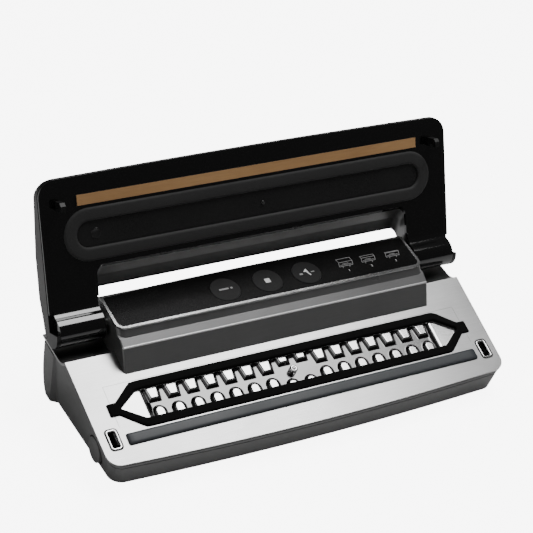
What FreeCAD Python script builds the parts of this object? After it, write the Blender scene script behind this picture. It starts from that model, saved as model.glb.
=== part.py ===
import FreeCAD, Part
import math
import os
import Sketcher

from FreeCAD import Placement, Rotation, Vector

# Bag vacuum sealer with its lid standing open.  +X runs to the right along the
# sealing bar, +Y to the rear, +Z up, and the table is at z = 0.
#
# Four local frames carry the parts:
#   deck   y along the sloping deck from its front corners, z above the deck
#   ground y from the same front corners, z above the table
#   lid    y from the hinge axis to the lid's front edge, z out of its inner face
#   panel  y along the control panel, z out of the panel

SIZES = [
    # stance
    ("deck_tilt", 20.0, "slope of the deck, degrees"),
    ("front_height", 25.5, "height of the deck's front corners"),
    ("origin_setback", 79.6, "origin behind the deck's front corners"),
    ("foot_height", 3.0, "free height of the rubber feet"),
    ("foot_radius", 6.0, "radius of a rubber foot"),
    # deck plate
    ("half_width", 180.0, "half width of the deck at its front"),
    ("rear_flare", 2.0, "extra half width at the rear"),
    ("deck_bow", 5.0, "how far the front edge bows forward"),
    ("deck_corner", 11.0, "front corner radius"),
    ("deck_thick", 2.0, "deck plate thickness"),
    ("deck_flat", 93.2, "length of the flat part of the deck"),
    ("trough_back", 107.0, "lowest line of the trough's arc"),
    ("trough_drop", 10.0, "depth of the trough at that line"),
    ("shelf_slope", 15.0, "slope of the shelf behind it against the deck, degrees"),
    ("rear_depth", 129.0, "rear wall behind the deck's front corners"),
    # lower housing
    ("wall", 2.4, "wall of the moulded shells"),
    ("skirt_inset", 0.5, "housing set back under the deck edge"),
    ("skirt_draft", 4.7, "how far the side walls lean in at the bottom"),
    ("front_undercut", 3.5, "how far the front wall leans in"),
    ("groove_width", 0.7, "width of the shadow grooves round the housing"),
    ("groove_depth", 0.7, "depth of the shadow grooves"),
    ("band_width", 2.3, "band between the two grooves"),
    ("heel_back", 12.0, "how far the rear wall's foot is rounded forward"),
    ("heel_height", 34.0, "height of that rounding"),
    ("gland_height", 44.5, "cord inlet above the table"),
    ("gland_place", -110.0, "cord inlet along X"),
    ("leg_front", 111.0, "front of the rear legs"),
    ("leg_wedge", 7.0, "slant of a leg's front face"),
    ("leg_inset", 8.0, "width of a rear leg"),
    ("leg_drop", 6.5, "top of a leg below the deck"),
    ("leg_clearance", 0.8, "leg above the table"),
    ("plate_thick", 2.0, "bottom plate thickness"),
    # hinge
    ("hinge_back", 118.5, "hinge axis along the deck"),
    ("hinge_rise", 4.0, "hinge axis above the deck"),
    ("barrel_radius", 12.0, "radius of the hinge barrels"),
    ("barrel_inner", 143.5, "inner end of a barrel"),
    ("barrel_outer", 181.0, "outer end of a barrel"),
    ("barrel_crease", 19.0, "where a barrel's fillet meets the lid's inner face"),
    ("pin_radius", 4.0, "hinge pin radius"),
    ("bush_wall", 1.5, "wall of a hinge bush"),
    ("running_gap", 0.05, "radial clearance of pin in bush"),
    ("pin_reach", 26.0, "pin inside the barrel"),
    ("open_angle", 132.9, "lid travel from closed to open"),
    # control housing
    ("box_half", 140.0, "half width of the control housing"),
    ("box_front", 72.1, "foot of its front wall"),
    ("ledge_front", 85.8, "front of its ledge"),
    ("ledge_height", 15.7, "height of the ledge's front"),
    ("ledge_back", 93.5, "rear of its ledge"),
    ("ledge_rise", 1.5, "rise of the ledge to its rear"),
    ("crown_front", 98.6, "front edge of its top"),
    ("crown_height", 20.2, "height of that edge"),
    ("crown_pitch", -12.1, "slope of its top against the deck, degrees"),
    ("crown_depth", 39.5, "depth of its top"),
    # control panel
    ("bezel_width", 2.2, "width of the bright rim"),
    ("bezel_thick", 2.0, "height of the bright rim"),
    ("panel_corner", 7.0, "front corner radius of the panel"),
    ("panel_thick", 1.5, "thickness of the panel"),
    ("fit_gap", 0.2, "clearance between trim pieces"),
    ("button_radius", 12.4, "radius of a panel button"),
    ("button_thick", 2.2, "thickness of a button's cap"),
    ("stem_radius", 2.5, "radius of a button stem"),
    ("seal_place", -38.5, "seal button along X"),
    ("vacuum_place", 36.5, "vacuum button along X"),
    ("button_place", 18.6, "buttons along the panel's depth"),
    ("board_thick", 1.6, "circuit board thickness"),
    ("board_half", 95.0, "half length of the control board"),
    ("board_depth", 25.0, "depth of the control board"),
    # chamber
    ("chamber_middle", 44.8, "centre line of the chamber"),
    ("gasket_bend", 140.0, "half length of the gasket's straight runs"),
    ("gasket_tip", 163.5, "outer tip of the gasket's point"),
    ("gasket_mouth", 154.8, "inner tip of the gasket's point"),
    ("gasket_half", 20.0, "half depth of the gasket"),
    ("gasket_band", 7.4, "width of the foam band"),
    ("gasket_proud", 1.7, "foam above the deck"),
    ("gasket_seat", 1.2, "foam below the deck"),
    ("tab_reach", 164.5, "outer end of the gasket's tabs"),
    ("tab_half", 5.5, "half width of a tab"),
    ("tray_sheet", 0.8, "sheet thickness of the tray"),
    ("tray_floor", 4.2, "depth of the tray's floor below the deck"),
    ("nozzle_radius", 3.4, "radius of the suction nozzle"),
    ("nozzle_height", 5.5, "height of the suction nozzle"),
    # sealing bar
    ("bar_middle", 18.3, "centre line of the sealing bar"),
    ("bar_half", 158.8, "half length of the silicone bar"),
    ("bar_width", 10.0, "width of the silicone bar"),
    ("bar_proud", 2.0, "silicone above the deck"),
    ("bar_depth", 4.5, "silicone below the deck"),
    # latches
    ("latch_place", 169.2, "latch slots along X"),
    ("latch_middle", 21.1, "latch slots along the deck"),
    ("slot_width", 5.8, "width of a latch slot"),
    ("slot_length", 13.8, "length of a latch slot"),
    ("surround_width", 1.5, "width of a slot's metal surround"),
    ("surround_proud", 0.6, "surround above the deck"),
    ("hook_width", 4.0, "width of a lid hook"),
    ("hook_length", 7.0, "length of a lid hook at its root"),
    ("hook_reach", 11.5, "how far a hook stands out of the lid"),
    ("hook_nose", 2.2, "nose of a hook"),
    ("release_radius", 10.2, "radius of a release button"),
    ("release_place", 32.0, "release buttons behind the front corners"),
    ("release_height", 15.5, "release buttons above the table"),
    ("release_proud", 2.2, "button outside the housing"),
    ("release_gap", 1.3, "dark gap round a release button"),
    ("release_travel", 2.6, "release button travel"),
    ("spring_radius", 3.6, "radius of a latch spring"),
    ("spring_wire", 0.7, "wire of a latch spring"),
    ("spring_room", 12.0, "catch to spring seat with the button out"),
    # lid
    ("lid_half", 184.4, "half width of the lid"),
    ("lid_reach", 117.2, "hinge axis to the lid's front corners"),
    ("lid_bow", 1.9, "how far the lid's front edge bows"),
    ("lid_corner", 14.0, "front corner radius of the lid"),
    ("lid_wall", 2.4, "wall of the lid cover"),
    ("lid_rear_thick", 17.6, "lid thickness over the arms"),
    ("lid_front_thick", 8.5, "lid thickness near its front"),
    ("frame_thick", 2.5, "thickness of the black inner frame"),
    ("cut_half", 142.2, "half width of the lid's rear cutout"),
    ("cut_reach", 46.0, "cutout from the hinge axis, inner face"),
    ("cut_corner", 6.0, "corner radius of the cutout"),
    ("cut_slant", 22.0, "how far the cutout's wall slants"),
    ("cut_knee", 11.7, "depth at which the cutout's wall turns"),
    ("cut_knee_slant", 11.2, "slant of the wall down to that turn"),
    ("ring_middle", 71.1, "centre line of the lid's foam ring"),
    ("ring_bend", 145.7, "centres of the ring's round ends"),
    ("ring_radius", 21.0, "outer radius of the ring"),
    ("ring_inner", 10.3, "inner radius of the ring"),
    ("ring_proud", 1.6, "foam out of the inner frame"),
    ("ring_seat", 1.6, "foam sunk in the frame"),
    ("strip_middle", 98.9, "centre line of the heating strip"),
    ("strip_half", 154.5, "half length of the strip"),
    ("strip_width", 9.0, "width of the strip"),
    ("strip_proud", 1.3, "strip out of the inner frame"),
    ("tape_thick", 0.3, "release tape thickness"),
    ("wire_width", 3.0, "heating wire width"),
    ("wire_thick", 0.3, "heating wire thickness"),
    # drive train
    ("motor_radius", 13.5, "vacuum motor radius"),
    ("motor_length", 46.0, "vacuum motor length"),
    ("pump_width", 30.0, "pump head width"),
    ("transformer_width", 58.0, "transformer width"),
    ("drive_inset", 38.0, "motor axis ahead of the rear wall"),
    ("hose_radius", 3.5, "suction hose radius"),
    ("screw_radius", 1.6, "screw shank radius"),
    ("screw_head", 3.0, "screw head radius"),
]

doc = FreeCAD.newDocument("vacuum_sealer")
sheet = doc.addObject("Spreadsheet::Sheet", "Sizes")
for row, (alias, value, note) in enumerate(SIZES, start=1):
    sheet.set("A%d" % row, note)
    sheet.set("B%d" % row, str(value))
    sheet.setAlias("B%d" % row, alias)
doc.recompute()


class Sheet:
    """The sheet's values as plain numbers, read by alias."""

    def __getattr__(self, alias):
        return float(sheet.get(alias))


S = Sheet()
NODES = []


def turn(angle):
    return Rotation(Vector(1, 0, 0), angle)


tilt = math.radians(S.deck_tilt)
GROUND = Placement(Vector(0, -S.origin_setback, 0), Rotation())
DECK = Placement(Vector(0, -S.origin_setback, S.front_height), turn(S.deck_tilt))
LID = DECK * Placement(Vector(0, S.hinge_back, S.hinge_rise), turn(180 - S.open_angle))
PANEL = DECK * Placement(Vector(0, S.crown_front, S.crown_height), turn(S.crown_pitch))


def to_ground(y, z):
    """Turns a point of the deck frame into the ground frame."""
    return (y * math.cos(tilt) - z * math.sin(tilt),
            S.front_height + y * math.sin(tilt) + z * math.cos(tilt))


def to_deck(y, z):
    """Turns a point of the ground frame into the deck frame."""
    rise = z - S.front_height
    return (y * math.cos(tilt) + rise * math.sin(tilt),
            rise * math.cos(tilt) - y * math.sin(tilt))


# ---------------------------------------------------------------- helpers

def new_body(label, frame):
    body = doc.addObject("PartDesign::Body", label + "_body")
    body.Label = label
    body.Placement = frame
    return body


def origin_plane(body, role):
    for feature in body.Origin.OriginFeatures:
        if feature.Role == role:
            return feature
    raise ValueError(role)


def new_sketch(body, role="XY_Plane", offset=None):
    sketch = body.newObject("Sketcher::SketchObject", "sketch")
    sketch.AttachmentSupport = [(origin_plane(body, role), "")]
    sketch.MapMode = "FlatFace"
    if offset is not None:
        sketch.setExpression("AttachmentOffset.Base.z", offset)
    return sketch


def add_rectangle(sketch, x, y, width, height):
    """Adds a rectangle whose corner, width and height are expressions."""
    first = sketch.GeometryCount
    corners = [Vector(1, 1, 0), Vector(9, 1, 0), Vector(9, 9, 0), Vector(1, 9, 0)]
    for i in range(4):
        sketch.addGeometry(Part.LineSegment(corners[i], corners[(i + 1) % 4]), False)
    for i in range(4):
        sketch.addConstraint(Sketcher.Constraint("Coincident", first + i, 2, first + (i + 1) % 4, 1))
    for i in (0, 2):
        sketch.addConstraint(Sketcher.Constraint("Horizontal", first + i))
        sketch.addConstraint(Sketcher.Constraint("Vertical", first + i + 1))
    for kind, ends, expression in (
            ("DistanceX", (first, 1, first, 2), width),
            ("DistanceY", (first + 1, 1, first + 1, 2), height),
            ("DistanceX", (-1, 1, first, 1), x),
            ("DistanceY", (-1, 1, first, 1), y)):
        index = sketch.addConstraint(Sketcher.Constraint(kind, *ends, 1.0))
        sketch.setExpression("Constraints[%d]" % index, expression)


def add_circle(sketch, x, y, radius):
    """Adds a circle whose centre and radius are expressions."""
    circle = sketch.addGeometry(Part.Circle(Vector(3, 3, 0), Vector(0, 0, 1), 2.0), False)
    for kind, ends, expression in (
            ("Radius", (circle,), radius),
            ("DistanceX", (-1, 1, circle, 3), x),
            ("DistanceY", (-1, 1, circle, 3), y)):
        index = sketch.addConstraint(Sketcher.Constraint(kind, *ends, 1.0))
        sketch.setExpression("Constraints[%d]" % index, expression)


def pad(body, sketch, length, midplane=False, backwards=False):
    feature = body.newObject("PartDesign::Pad", "pad")
    feature.Profile = sketch
    feature.setExpression("Length", length)
    feature.Midplane = midplane
    feature.Reversed = backwards
    return feature


def pocket(body, sketch, length, midplane=False, backwards=False):
    feature = body.newObject("PartDesign::Pocket", "pocket")
    feature.Profile = sketch
    feature.setExpression("Length", length)
    feature.Midplane = midplane
    feature.Reversed = backwards
    return feature


def keep(thing):
    NODES.append(thing)
    return thing


def block(label, frame, x, y, z, width, depth, height):
    """A plain block of a local frame: low corner and sizes are expressions."""
    body = new_body(label, frame)
    sketch = new_sketch(body, "XY_Plane", z)
    add_rectangle(sketch, x, y, width, depth)
    pad(body, sketch, height)
    return body


def group(label, shapes):
    """One node of several separate solids."""
    feature = doc.addObject("Part::Feature", label)
    feature.Label = label
    feature.Shape = Part.makeCompound(shapes)
    return feature


def placed(shape, frame):
    copy = shape.copy()
    copy.Placement = frame * copy.Placement
    return copy


def inset(points, wall):
    """Moves each side of a counter-clockwise polygon inwards by the wall."""
    count = len(points)
    lines = []
    for i in range(count):
        (x0, y0), (x1, y1) = points[i], points[(i + 1) % count]
        length = math.hypot(x1 - x0, y1 - y0)
        dx, dy = (x1 - x0) / length, (y1 - y0) / length
        lines.append((x0 - dy * wall, y0 + dx * wall, dx, dy))
    moved = []
    for i in range(count):
        ax, ay, adx, ady = lines[i - 1]
        bx, by, bdx, bdy = lines[i]
        cross = adx * bdy - ady * bdx
        along = ((bx - ax) * bdy - (by - ay) * bdx) / cross
        moved.append((ax + adx * along, ay + ady * along))
    return moved


def prism_x(points, x0, x1):
    """A polygon of (y, z) points carried from x0 to x1."""
    wire = Part.makePolygon([Vector(x0, y, z) for y, z in points + points[:1]])
    return Part.Face(wire).extrude(Vector(x1 - x0, 0, 0))


def arc_point(centre, radius, y):
    """The point at y on the lower half of a circle of the (y, z) plane."""
    return (y, centre[1] - math.sqrt(radius ** 2 - (y - centre[0]) ** 2))


# ---------------------------------------------------------------- deck

# the trough is an arc that starts at the deck's rear lip, and the shelf under
# the barrels runs on from it to the rear wall
run = S.trough_back - S.deck_flat
trough_radius = (run ** 2 + S.trough_drop ** 2) / (2 * S.trough_drop)
trough_centre = (S.trough_back, trough_radius - S.trough_drop)
shelf = math.radians(S.shelf_slope)


def shelf_start(drop):
    """Where the lowered arc runs into the shelf."""
    radius = trough_radius + drop
    return (trough_centre[0] - radius * math.sin(shelf), trough_centre[1] - radius * math.cos(shelf))


start_ground = to_ground(*shelf_start(0))
shelf_run = (S.rear_depth - start_ground[0]) / math.cos(math.radians(S.deck_tilt) - shelf)
shelf_end = (shelf_start(0)[0] + shelf_run * math.cos(shelf),
             shelf_start(0)[1] - shelf_run * math.sin(shelf))
rear_top = to_ground(*shelf_end)[1]


def deck_curves(drop, front):
    """The deck's profile lowered by drop, as edges from front to rear."""
    radius = trough_radius + drop
    lip_y = S.trough_back - math.sqrt(radius ** 2 - (trough_centre[1] + drop) ** 2)
    lip = (lip_y, -drop)
    low = shelf_start(drop)
    end = (shelf_end[0], low[1] - (shelf_end[0] - low[0]) * math.tan(shelf))
    middle = arc_point(trough_centre, radius, lip_y + (low[0] - lip_y) * 0.3)
    return front, lip, middle, low, end


def deck_face(drop, front, floor, x):
    """The region between the lowered deck profile and a floor, at one x."""
    start, lip, middle, low, end = deck_curves(drop, (front, -drop))

    def at(point):
        return Vector(x, point[0], point[1])

    edges = [
        Part.LineSegment(at(start), at(lip)).toShape(),
        Part.Arc(at(lip), at(middle), at(low)).toShape(),
        Part.LineSegment(at(low), at(end)).toShape(),
    ]
    for first, last in zip([end] + floor, floor + [start]):
        edges.append(Part.LineSegment(at(first), at(last)).toShape())
    return Part.Face(Part.Wire(edges))


FAR = 60.0


def below_deck(drop, half):
    """Everything under the lowered deck profile, as a solid in the deck frame."""
    floor = [(shelf_end[0], -FAR * 2), (-FAR, -FAR * 2)]
    face = deck_face(drop, -FAR, floor, -half)
    return face.extrude(Vector(2 * half, 0, 0))


def plan_outline(half_front, half_rear, front, rear, bow):
    """A plan outline in (x, y): bowed front, straight sides, straight rear."""
    return [
        Part.Arc(Vector(-half_front, front, 0), Vector(0, front - bow, 0), Vector(half_front, front, 0)),
        Part.LineSegment(Vector(half_front, front, 0), Vector(half_rear, rear, 0)),
        Part.LineSegment(Vector(half_rear, rear, 0), Vector(-half_rear, rear, 0)),
        Part.LineSegment(Vector(-half_rear, rear, 0), Vector(-half_front, front, 0)),
    ]


def rounded_plan(curves, radius, corners):
    """A face of the outline with the named corners rounded."""
    face = Part.Face(Part.Wire([curve.toShape() for curve in curves]))
    solid = face.extrude(Vector(0, 0, 1))
    edges = [edge for edge in solid.Edges
             if any(abs(v.Point.x - x) < 0.01 and abs(v.Point.y - y) < 0.01
                    for x, y in corners for v in edge.Vertexes) and len(edge.Vertexes) == 2
             and abs(edge.Vertexes[0].Point.z - edge.Vertexes[1].Point.z) > 0.5]
    rounded = solid.makeFillet(radius, edges)
    for side in rounded.Faces:
        if side.BoundBox.ZMax < 0.001:
            return side
    raise ValueError("no base face")


def deck_plan(inwards, low, high):
    """The deck's plan, drawn in by some millimetres, as an upright prism."""
    half = S.half_width - inwards
    face = rounded_plan(
        plan_outline(half, half + S.rear_flare, inwards, shelf_end[0] + 1, S.deck_bow),
        S.deck_corner - min(inwards, S.deck_corner / 2),
        [(-half, inwards), (half, inwards)])
    face.translate(Vector(0, 0, low))
    return face.extrude(Vector(0, 0, high - low))


def hexagon(bend, tip, half, middle):
    return [(-bend, middle - half), (bend, middle - half), (tip, middle),
            (bend, middle + half), (-bend, middle + half), (-tip, middle)]


def prism_z(points, low, high):
    wire = Part.makePolygon([Vector(x, y, low) for x, y in points + points[:1]])
    return Part.Face(wire).extrude(Vector(0, 0, high - low))


def box_z(x0, x1, y0, y1, z0, z1):
    return Part.makeBox(x1 - x0, y1 - y0, z1 - z0, Vector(x0, y0, z0))


gasket_outer = hexagon(S.gasket_bend, S.gasket_tip, S.gasket_half, S.chamber_middle)
gasket_inner = hexagon(S.gasket_bend - S.gasket_band / 4, S.gasket_mouth, S.gasket_half - S.gasket_band,
                       S.chamber_middle)
gasket_core = hexagon(S.gasket_bend - S.gasket_band / 8, (S.gasket_tip + S.gasket_mouth) / 2,
                      S.gasket_half - S.gasket_band / 2, S.chamber_middle)


def tabs(half, reach, low, high):
    return [box_z(x0, x1, S.chamber_middle - half, S.chamber_middle + half, low, high)
            for x0, x1 in ((-reach, -S.gasket_tip + 6), (S.gasket_tip - 6, reach))]


box_cut = S.box_half - S.wall
deck_shape = below_deck(0, S.half_width + 10).cut(below_deck(S.deck_thick, S.half_width + 20))
deck_shape = deck_shape.common(deck_plan(0, -FAR, FAR))
# the control housing stands over this opening
deck_shape = deck_shape.cut(box_z(-box_cut, box_cut, S.box_front + S.wall, 400, -FAR, FAR))
# the drip tray hangs in this opening, and the foam sits in a groove round it
deck_shape = deck_shape.cut(prism_z(gasket_core, -FAR, FAR))
deck_shape = deck_shape.cut(prism_z(gasket_outer, -S.gasket_seat, FAR))
for tab in tabs(S.tab_half, S.tab_reach, -S.gasket_seat, FAR):
    deck_shape = deck_shape.cut(tab)
deck_shape = deck_shape.cut(box_z(-S.bar_half, S.bar_half, S.bar_middle - S.bar_width / 2,
                                  S.bar_middle + S.bar_width / 2, -FAR, FAR))
surround_half_x = S.slot_width / 2 + S.surround_width
surround_half_y = S.slot_length / 2 + S.surround_width
for side in (-1, 1):
    centre = side * S.latch_place
    deck_shape = deck_shape.cut(box_z(centre - surround_half_x, centre + surround_half_x,
                                      S.latch_middle - surround_half_y,
                                      S.latch_middle + surround_half_y, -FAR, FAR))


def solid_node(label, shape, frame):
    feature = doc.addObject("Part::Feature", label)
    feature.Label = label
    feature.Shape = shape.removeSplitter()
    feature.Placement = frame
    return keep(feature)


solid_node("deck_plate", deck_shape, DECK)

# ---------------------------------------------------------------- housing

housing_floor = S.foot_height + 0.5


def heel_profile(rear):
    """The (y, z) region in front of a rear wall whose foot rounds forward."""
    rounding = []
    for step in range(7):
        angle = math.radians(15 * step)
        rounding.append((rear - S.heel_back * (1 - math.sin(angle)), S.heel_height * (1 - math.cos(angle))))
    return [(-400, -50), (rounding[0][0], -50)] + rounding + [(rear, 400), (-400, 400)]


def housing_hull(inwards, floor, lift):
    """The housing's tapered hull in the ground frame, walls moved inwards."""
    low_half = S.half_width - S.skirt_inset - S.skirt_draft - inwards
    top_half = S.half_width - S.skirt_inset - inwards
    low_front = S.front_undercut + inwards
    rear = S.rear_depth - inwards
    low = rounded_plan(plan_outline(low_half, low_half + S.rear_flare, low_front, rear, S.deck_bow),
                       S.deck_corner, [(-low_half, low_front), (low_half, low_front)])
    low.translate(Vector(0, 0, floor))
    top_front = S.skirt_inset + inwards
    slant = to_deck(rear, rear_top)[0] + rear_top
    top = rounded_plan(plan_outline(top_half, top_half + S.rear_flare, top_front, slant, S.deck_bow),
                       S.deck_corner, [(-top_half, top_front), (top_half, top_front)])
    top.translate(Vector(0, 0, lift))
    top.Placement = DECK_IN_GROUND * top.Placement
    hull = Part.makeLoft([low.OuterWire, top.OuterWire], True, True)
    return hull.common(prism_x(heel_profile(rear), -400, 400))


DECK_IN_GROUND = Placement(Vector(0, 0, S.front_height), turn(S.deck_tilt))
under_deck = placed(below_deck(S.deck_thick, 400), DECK_IN_GROUND)
housing = housing_hull(0, housing_floor, 0).common(under_deck)
core = housing_hull(S.groove_depth, housing_floor, 0)
for drop in (S.deck_thick, S.deck_thick + S.groove_width + S.band_width):
    slab = box_z(-400, 400, -400, S.deck_flat + 1, -drop - S.groove_width, -drop)
    housing = housing.cut(placed(slab, DECK_IN_GROUND).cut(core))
housing = housing.cut(housing_hull(S.wall, housing_floor - 1, 1))

under_band = placed(below_deck(S.leg_drop, 400), DECK_IN_GROUND)
for side in (-1, 1):
    outer = side * (S.half_width + 0.3)
    inner = side * (S.half_width - S.leg_inset)
    plan = [(outer, S.rear_depth), (outer, S.leg_front),
            (inner, S.leg_front - S.leg_wedge), (inner, S.rear_depth)]
    leg = prism_z(plan, S.leg_clearance, FAR * 2).common(prism_x(heel_profile(S.rear_depth), -200, 200))
    leg = leg.common(under_band)
    housing = housing.fuse(leg)
for side in (-1, 1):
    bore = Part.makeCylinder(S.release_radius + S.release_gap, 30,
                             Vector(side * (S.half_width - 20), S.release_place, S.release_height),
                             Vector(side, 0, 0))
    housing = housing.cut(bore)
gland_bore = Part.makeCylinder(5.0, 30, Vector(S.gland_place, S.rear_depth - 15, S.gland_height),
                               Vector(0, 1, 0))
housing = housing.cut(gland_bore)

# ---------------------------------------------------------------- base floor

inner_hull = housing_hull(S.wall + S.fit_gap, housing_floor - 1, 1)
floor_slab = box_z(-400, 400, -400, 400, housing_floor, housing_floor + S.plate_thick)
post_places = []
for x in (-120, 0, 120):
    front = S.front_undercut - S.deck_bow * (1 - (x / S.half_width) ** 2) + S.wall + 1.6
    post_places.append((x, front))
    post_places.append((x, S.rear_depth - S.heel_back - S.wall - 6))
plate = inner_hull.common(floor_slab)
screws = []
posts = []
for x, y in post_places:
    foot = Vector(x, y, housing_floor)
    plate = plate.cut(Part.makeCylinder(S.screw_head + S.fit_gap, S.plate_thick, foot))
    head = Part.makeCylinder(S.screw_head, 1.4, foot + Vector(0, 0, 0.5))
    screws.append(head.fuse(Part.makeCylinder(S.screw_radius, 8, foot + Vector(0, 0, 1.9))))
    post = Part.makeCylinder(S.screw_head, 9, foot + Vector(0, 0, 1.9))
    posts.append(post.cut(Part.makeCylinder(S.screw_radius, 9, foot + Vector(0, 0, 1.9))))
for post in posts:
    housing = housing.fuse(post)
for screw in screws:
    housing = housing.cut(screw)
solid_node("base_housing", housing, GROUND)
for side in (-1, 1):
    clear = Part.makeCylinder(S.release_radius + S.release_gap, 30,
                              Vector(side * (S.half_width - 20), S.release_place, S.release_height),
                              Vector(side, 0, 0))
    plate = plate.cut(clear)
solid_node("bottom_plate", plate.cut(housing), GROUND)
screw_group = group("bottom_screws", screws)
screw_group.Placement = GROUND
keep(screw_group)

foot_front = 16.0
feet = []
for x in (-150, 150):
    for y in (foot_front, S.rear_depth - S.heel_back - 12):
        feet.append(Part.makeCylinder(S.foot_radius, housing_floor, Vector(x, y, 0)))
foot_group = group("rubber_feet", feet)
foot_group.Placement = GROUND
keep(foot_group)

# ---------------------------------------------------------------- control housing

pitch = math.radians(S.crown_pitch)
crown_front = (S.crown_front, S.crown_height)
crown_rear = (S.crown_front + S.crown_depth * math.cos(pitch),
              S.crown_height + S.crown_depth * math.sin(pitch))
back_top = to_deck(S.rear_depth - 4, to_ground(*crown_rear)[1] - 4)
back_mid = to_deck(S.rear_depth, to_ground(*crown_rear)[1] - 12)
ledge_rear = (S.ledge_back, S.ledge_height + S.ledge_rise)
outline = [
    (shelf_end[0], -FAR), shelf_end, back_mid, back_top, crown_rear, crown_front,
    ledge_rear, (S.ledge_front, S.ledge_height), (S.box_front, 0.0), (S.box_front, -FAR),
]


def on_panel(y, z):
    """A point of the panel frame in the deck frame's (y, z) plane."""
    return (crown_front[0] + y * math.cos(pitch) - z * math.sin(pitch),
            crown_front[1] + y * math.sin(pitch) + z * math.cos(pitch))


# the crown stands on the ledge with rounded front corners
step_back = ledge_rear[0] - crown_front[0]
step_down = ledge_rear[1] - crown_front[1]
step_y = step_back * math.cos(pitch) + step_down * math.sin(pitch)
step_z = step_down * math.cos(pitch) - step_back * math.sin(pitch)
crown_depth_part = S.panel_corner * 2
crown_foot = [on_panel(crown_depth_part, 0), on_panel(crown_depth_part, step_z)]
lower_outline = outline[:5] + crown_foot + outline[6:]
control = prism_x(lower_outline, -S.box_half, S.box_half)
crown_rear_edge = crown_depth_part + 1 - step_y
crown_curves = plan_outline(S.box_half, S.box_half, 0, crown_rear_edge, 0.001)
crown_face = rounded_plan(crown_curves, S.panel_corner, [(-S.box_half, 0), (S.box_half, 0)])
crown = crown_face.extrude(Vector(0, step_y, step_z))
crown.Placement = DECK.inverse() * PANEL * crown.Placement
upright = [edge for edge in control.Edges
           if edge.BoundBox.XLength < 0.01 and edge.BoundBox.YMin > S.box_front - 1
           and edge.BoundBox.ZMin > -0.5 and edge.BoundBox.YMax < S.ledge_front + 1]
control = control.makeFillet(1.6, upright)
soft = [edge for edge in control.Edges
        if edge.BoundBox.XLength > 200 and abs(edge.BoundBox.YMin - S.ledge_front) < 0.1]
control = control.makeFillet(0.9, soft).fuse(crown)
hollow = prism_x(inset(outline, S.wall), -box_cut, box_cut)
hollow = hollow.fuse(hollow.translated(Vector(0, 0, -S.wall * 2)))
control = control.cut(hollow)
control = control.cut(below_deck(0, 400).common(box_z(-400, 400, -400, S.box_front + S.wall, -400, 400)))
for x0, x1 in ((-400, -box_cut), (box_cut, 400)):
    control = control.cut(below_deck(0, 400).common(box_z(x0, x1, -400, 400, -400, 400)))
control = control.cut(below_deck(S.deck_thick, 400))
for x in (S.seal_place, 0, S.vacuum_place):
    well = Part.makeCylinder(S.button_radius + 0.4, 12, Vector(x, S.button_place, -6))
    well.Placement = DECK.inverse() * PANEL * well.Placement
    control = control.cut(well)
control = control.cut(Part.makeCylinder(S.pin_radius, 600, Vector(-300, S.hinge_back, S.hinge_rise),
                                        Vector(1, 0, 0)))
board_level = -S.wall - 2.6
for x in (-S.board_half + 4, S.board_half - 4):
    for y in (9.0, S.board_depth + 3):
        stud = Part.makeCylinder(2.2, 2.8, Vector(x, y, board_level))
        stud.Placement = DECK.inverse() * PANEL * stud.Placement
        control = control.fuse(stud)
solid_node("control_housing", control, DECK)


def panel_face(half, front, rear, bow, radius):
    curves = [
        Part.LineSegment(Vector(-half, front, 0), Vector(half, front, 0)),
        Part.LineSegment(Vector(half, front, 0), Vector(half, rear, 0)),
        Part.Arc(Vector(half, rear, 0), Vector(0, rear + bow, 0), Vector(-half, rear, 0)),
        Part.LineSegment(Vector(-half, rear, 0), Vector(-half, front, 0)),
    ]
    return rounded_plan(curves, radius, [(-half, front), (half, front)])


panel_bow = 2.4
panel_rear = S.crown_depth - panel_bow - 0.6
bezel_face = panel_face(S.box_half, 0.2, panel_rear, panel_bow, S.panel_corner)
inner_edge = S.bezel_width
opening = panel_face(S.box_half - inner_edge, 0.2 + inner_edge, panel_rear - inner_edge / 2, panel_bow,
                     S.panel_corner - inner_edge)
bezel = bezel_face.extrude(Vector(0, 0, S.bezel_thick)).cut(opening.extrude(Vector(0, 0, S.bezel_thick)))
solid_node("panel_bezel", bezel, PANEL)

trim = inner_edge + S.fit_gap
panel = panel_face(S.box_half - trim, 0.2 + trim, panel_rear - inner_edge / 2 - S.fit_gap, panel_bow,
                   S.panel_corner - trim).extrude(Vector(0, 0, S.panel_thick))
for x in (S.seal_place, 0, S.vacuum_place):
    panel = panel.cut(Part.makeCylinder(S.button_radius + S.fit_gap, 9, Vector(x, S.button_place, -3)))
solid_node("control_panel", panel, PANEL)


def panel_button(label, place):
    """A flat round key with a stem that presses its switch on the board."""
    body = new_body(label, PANEL)
    cap = new_sketch(body, "XY_Plane", "Sizes.panel_thick + 0.3 - Sizes.button_thick")
    add_circle(cap, place, "Sizes.button_place", "Sizes.button_radius")
    pad(body, cap, "Sizes.button_thick")
    stem = new_sketch(body, "XY_Plane", "Sizes.panel_thick + 0.4 - Sizes.button_thick")
    add_circle(stem, place, "Sizes.button_place", "Sizes.stem_radius")
    pad(body, stem, "Sizes.wall + 0.7", backwards=True)
    return keep(body)


panel_button("seal_button", "Sizes.seal_place")
panel_button("stop_button", "0")
panel_button("vacuum_button", "Sizes.vacuum_place")
keep(block("control_board", PANEL, "-Sizes.board_half", "6", "-Sizes.wall - 2.6 - Sizes.board_thick",
           "2 * Sizes.board_half", "Sizes.board_depth", "Sizes.board_thick"))

# ---------------------------------------------------------------- chamber

gasket = prism_z(gasket_outer, -S.gasket_seat, S.gasket_proud)
for tab in tabs(S.tab_half, S.tab_reach, -S.gasket_seat, S.gasket_proud):
    gasket = gasket.fuse(tab)
gasket = gasket.cut(prism_z(gasket_inner, -9, 9))
solid_node("chamber_gasket", gasket, DECK)

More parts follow.
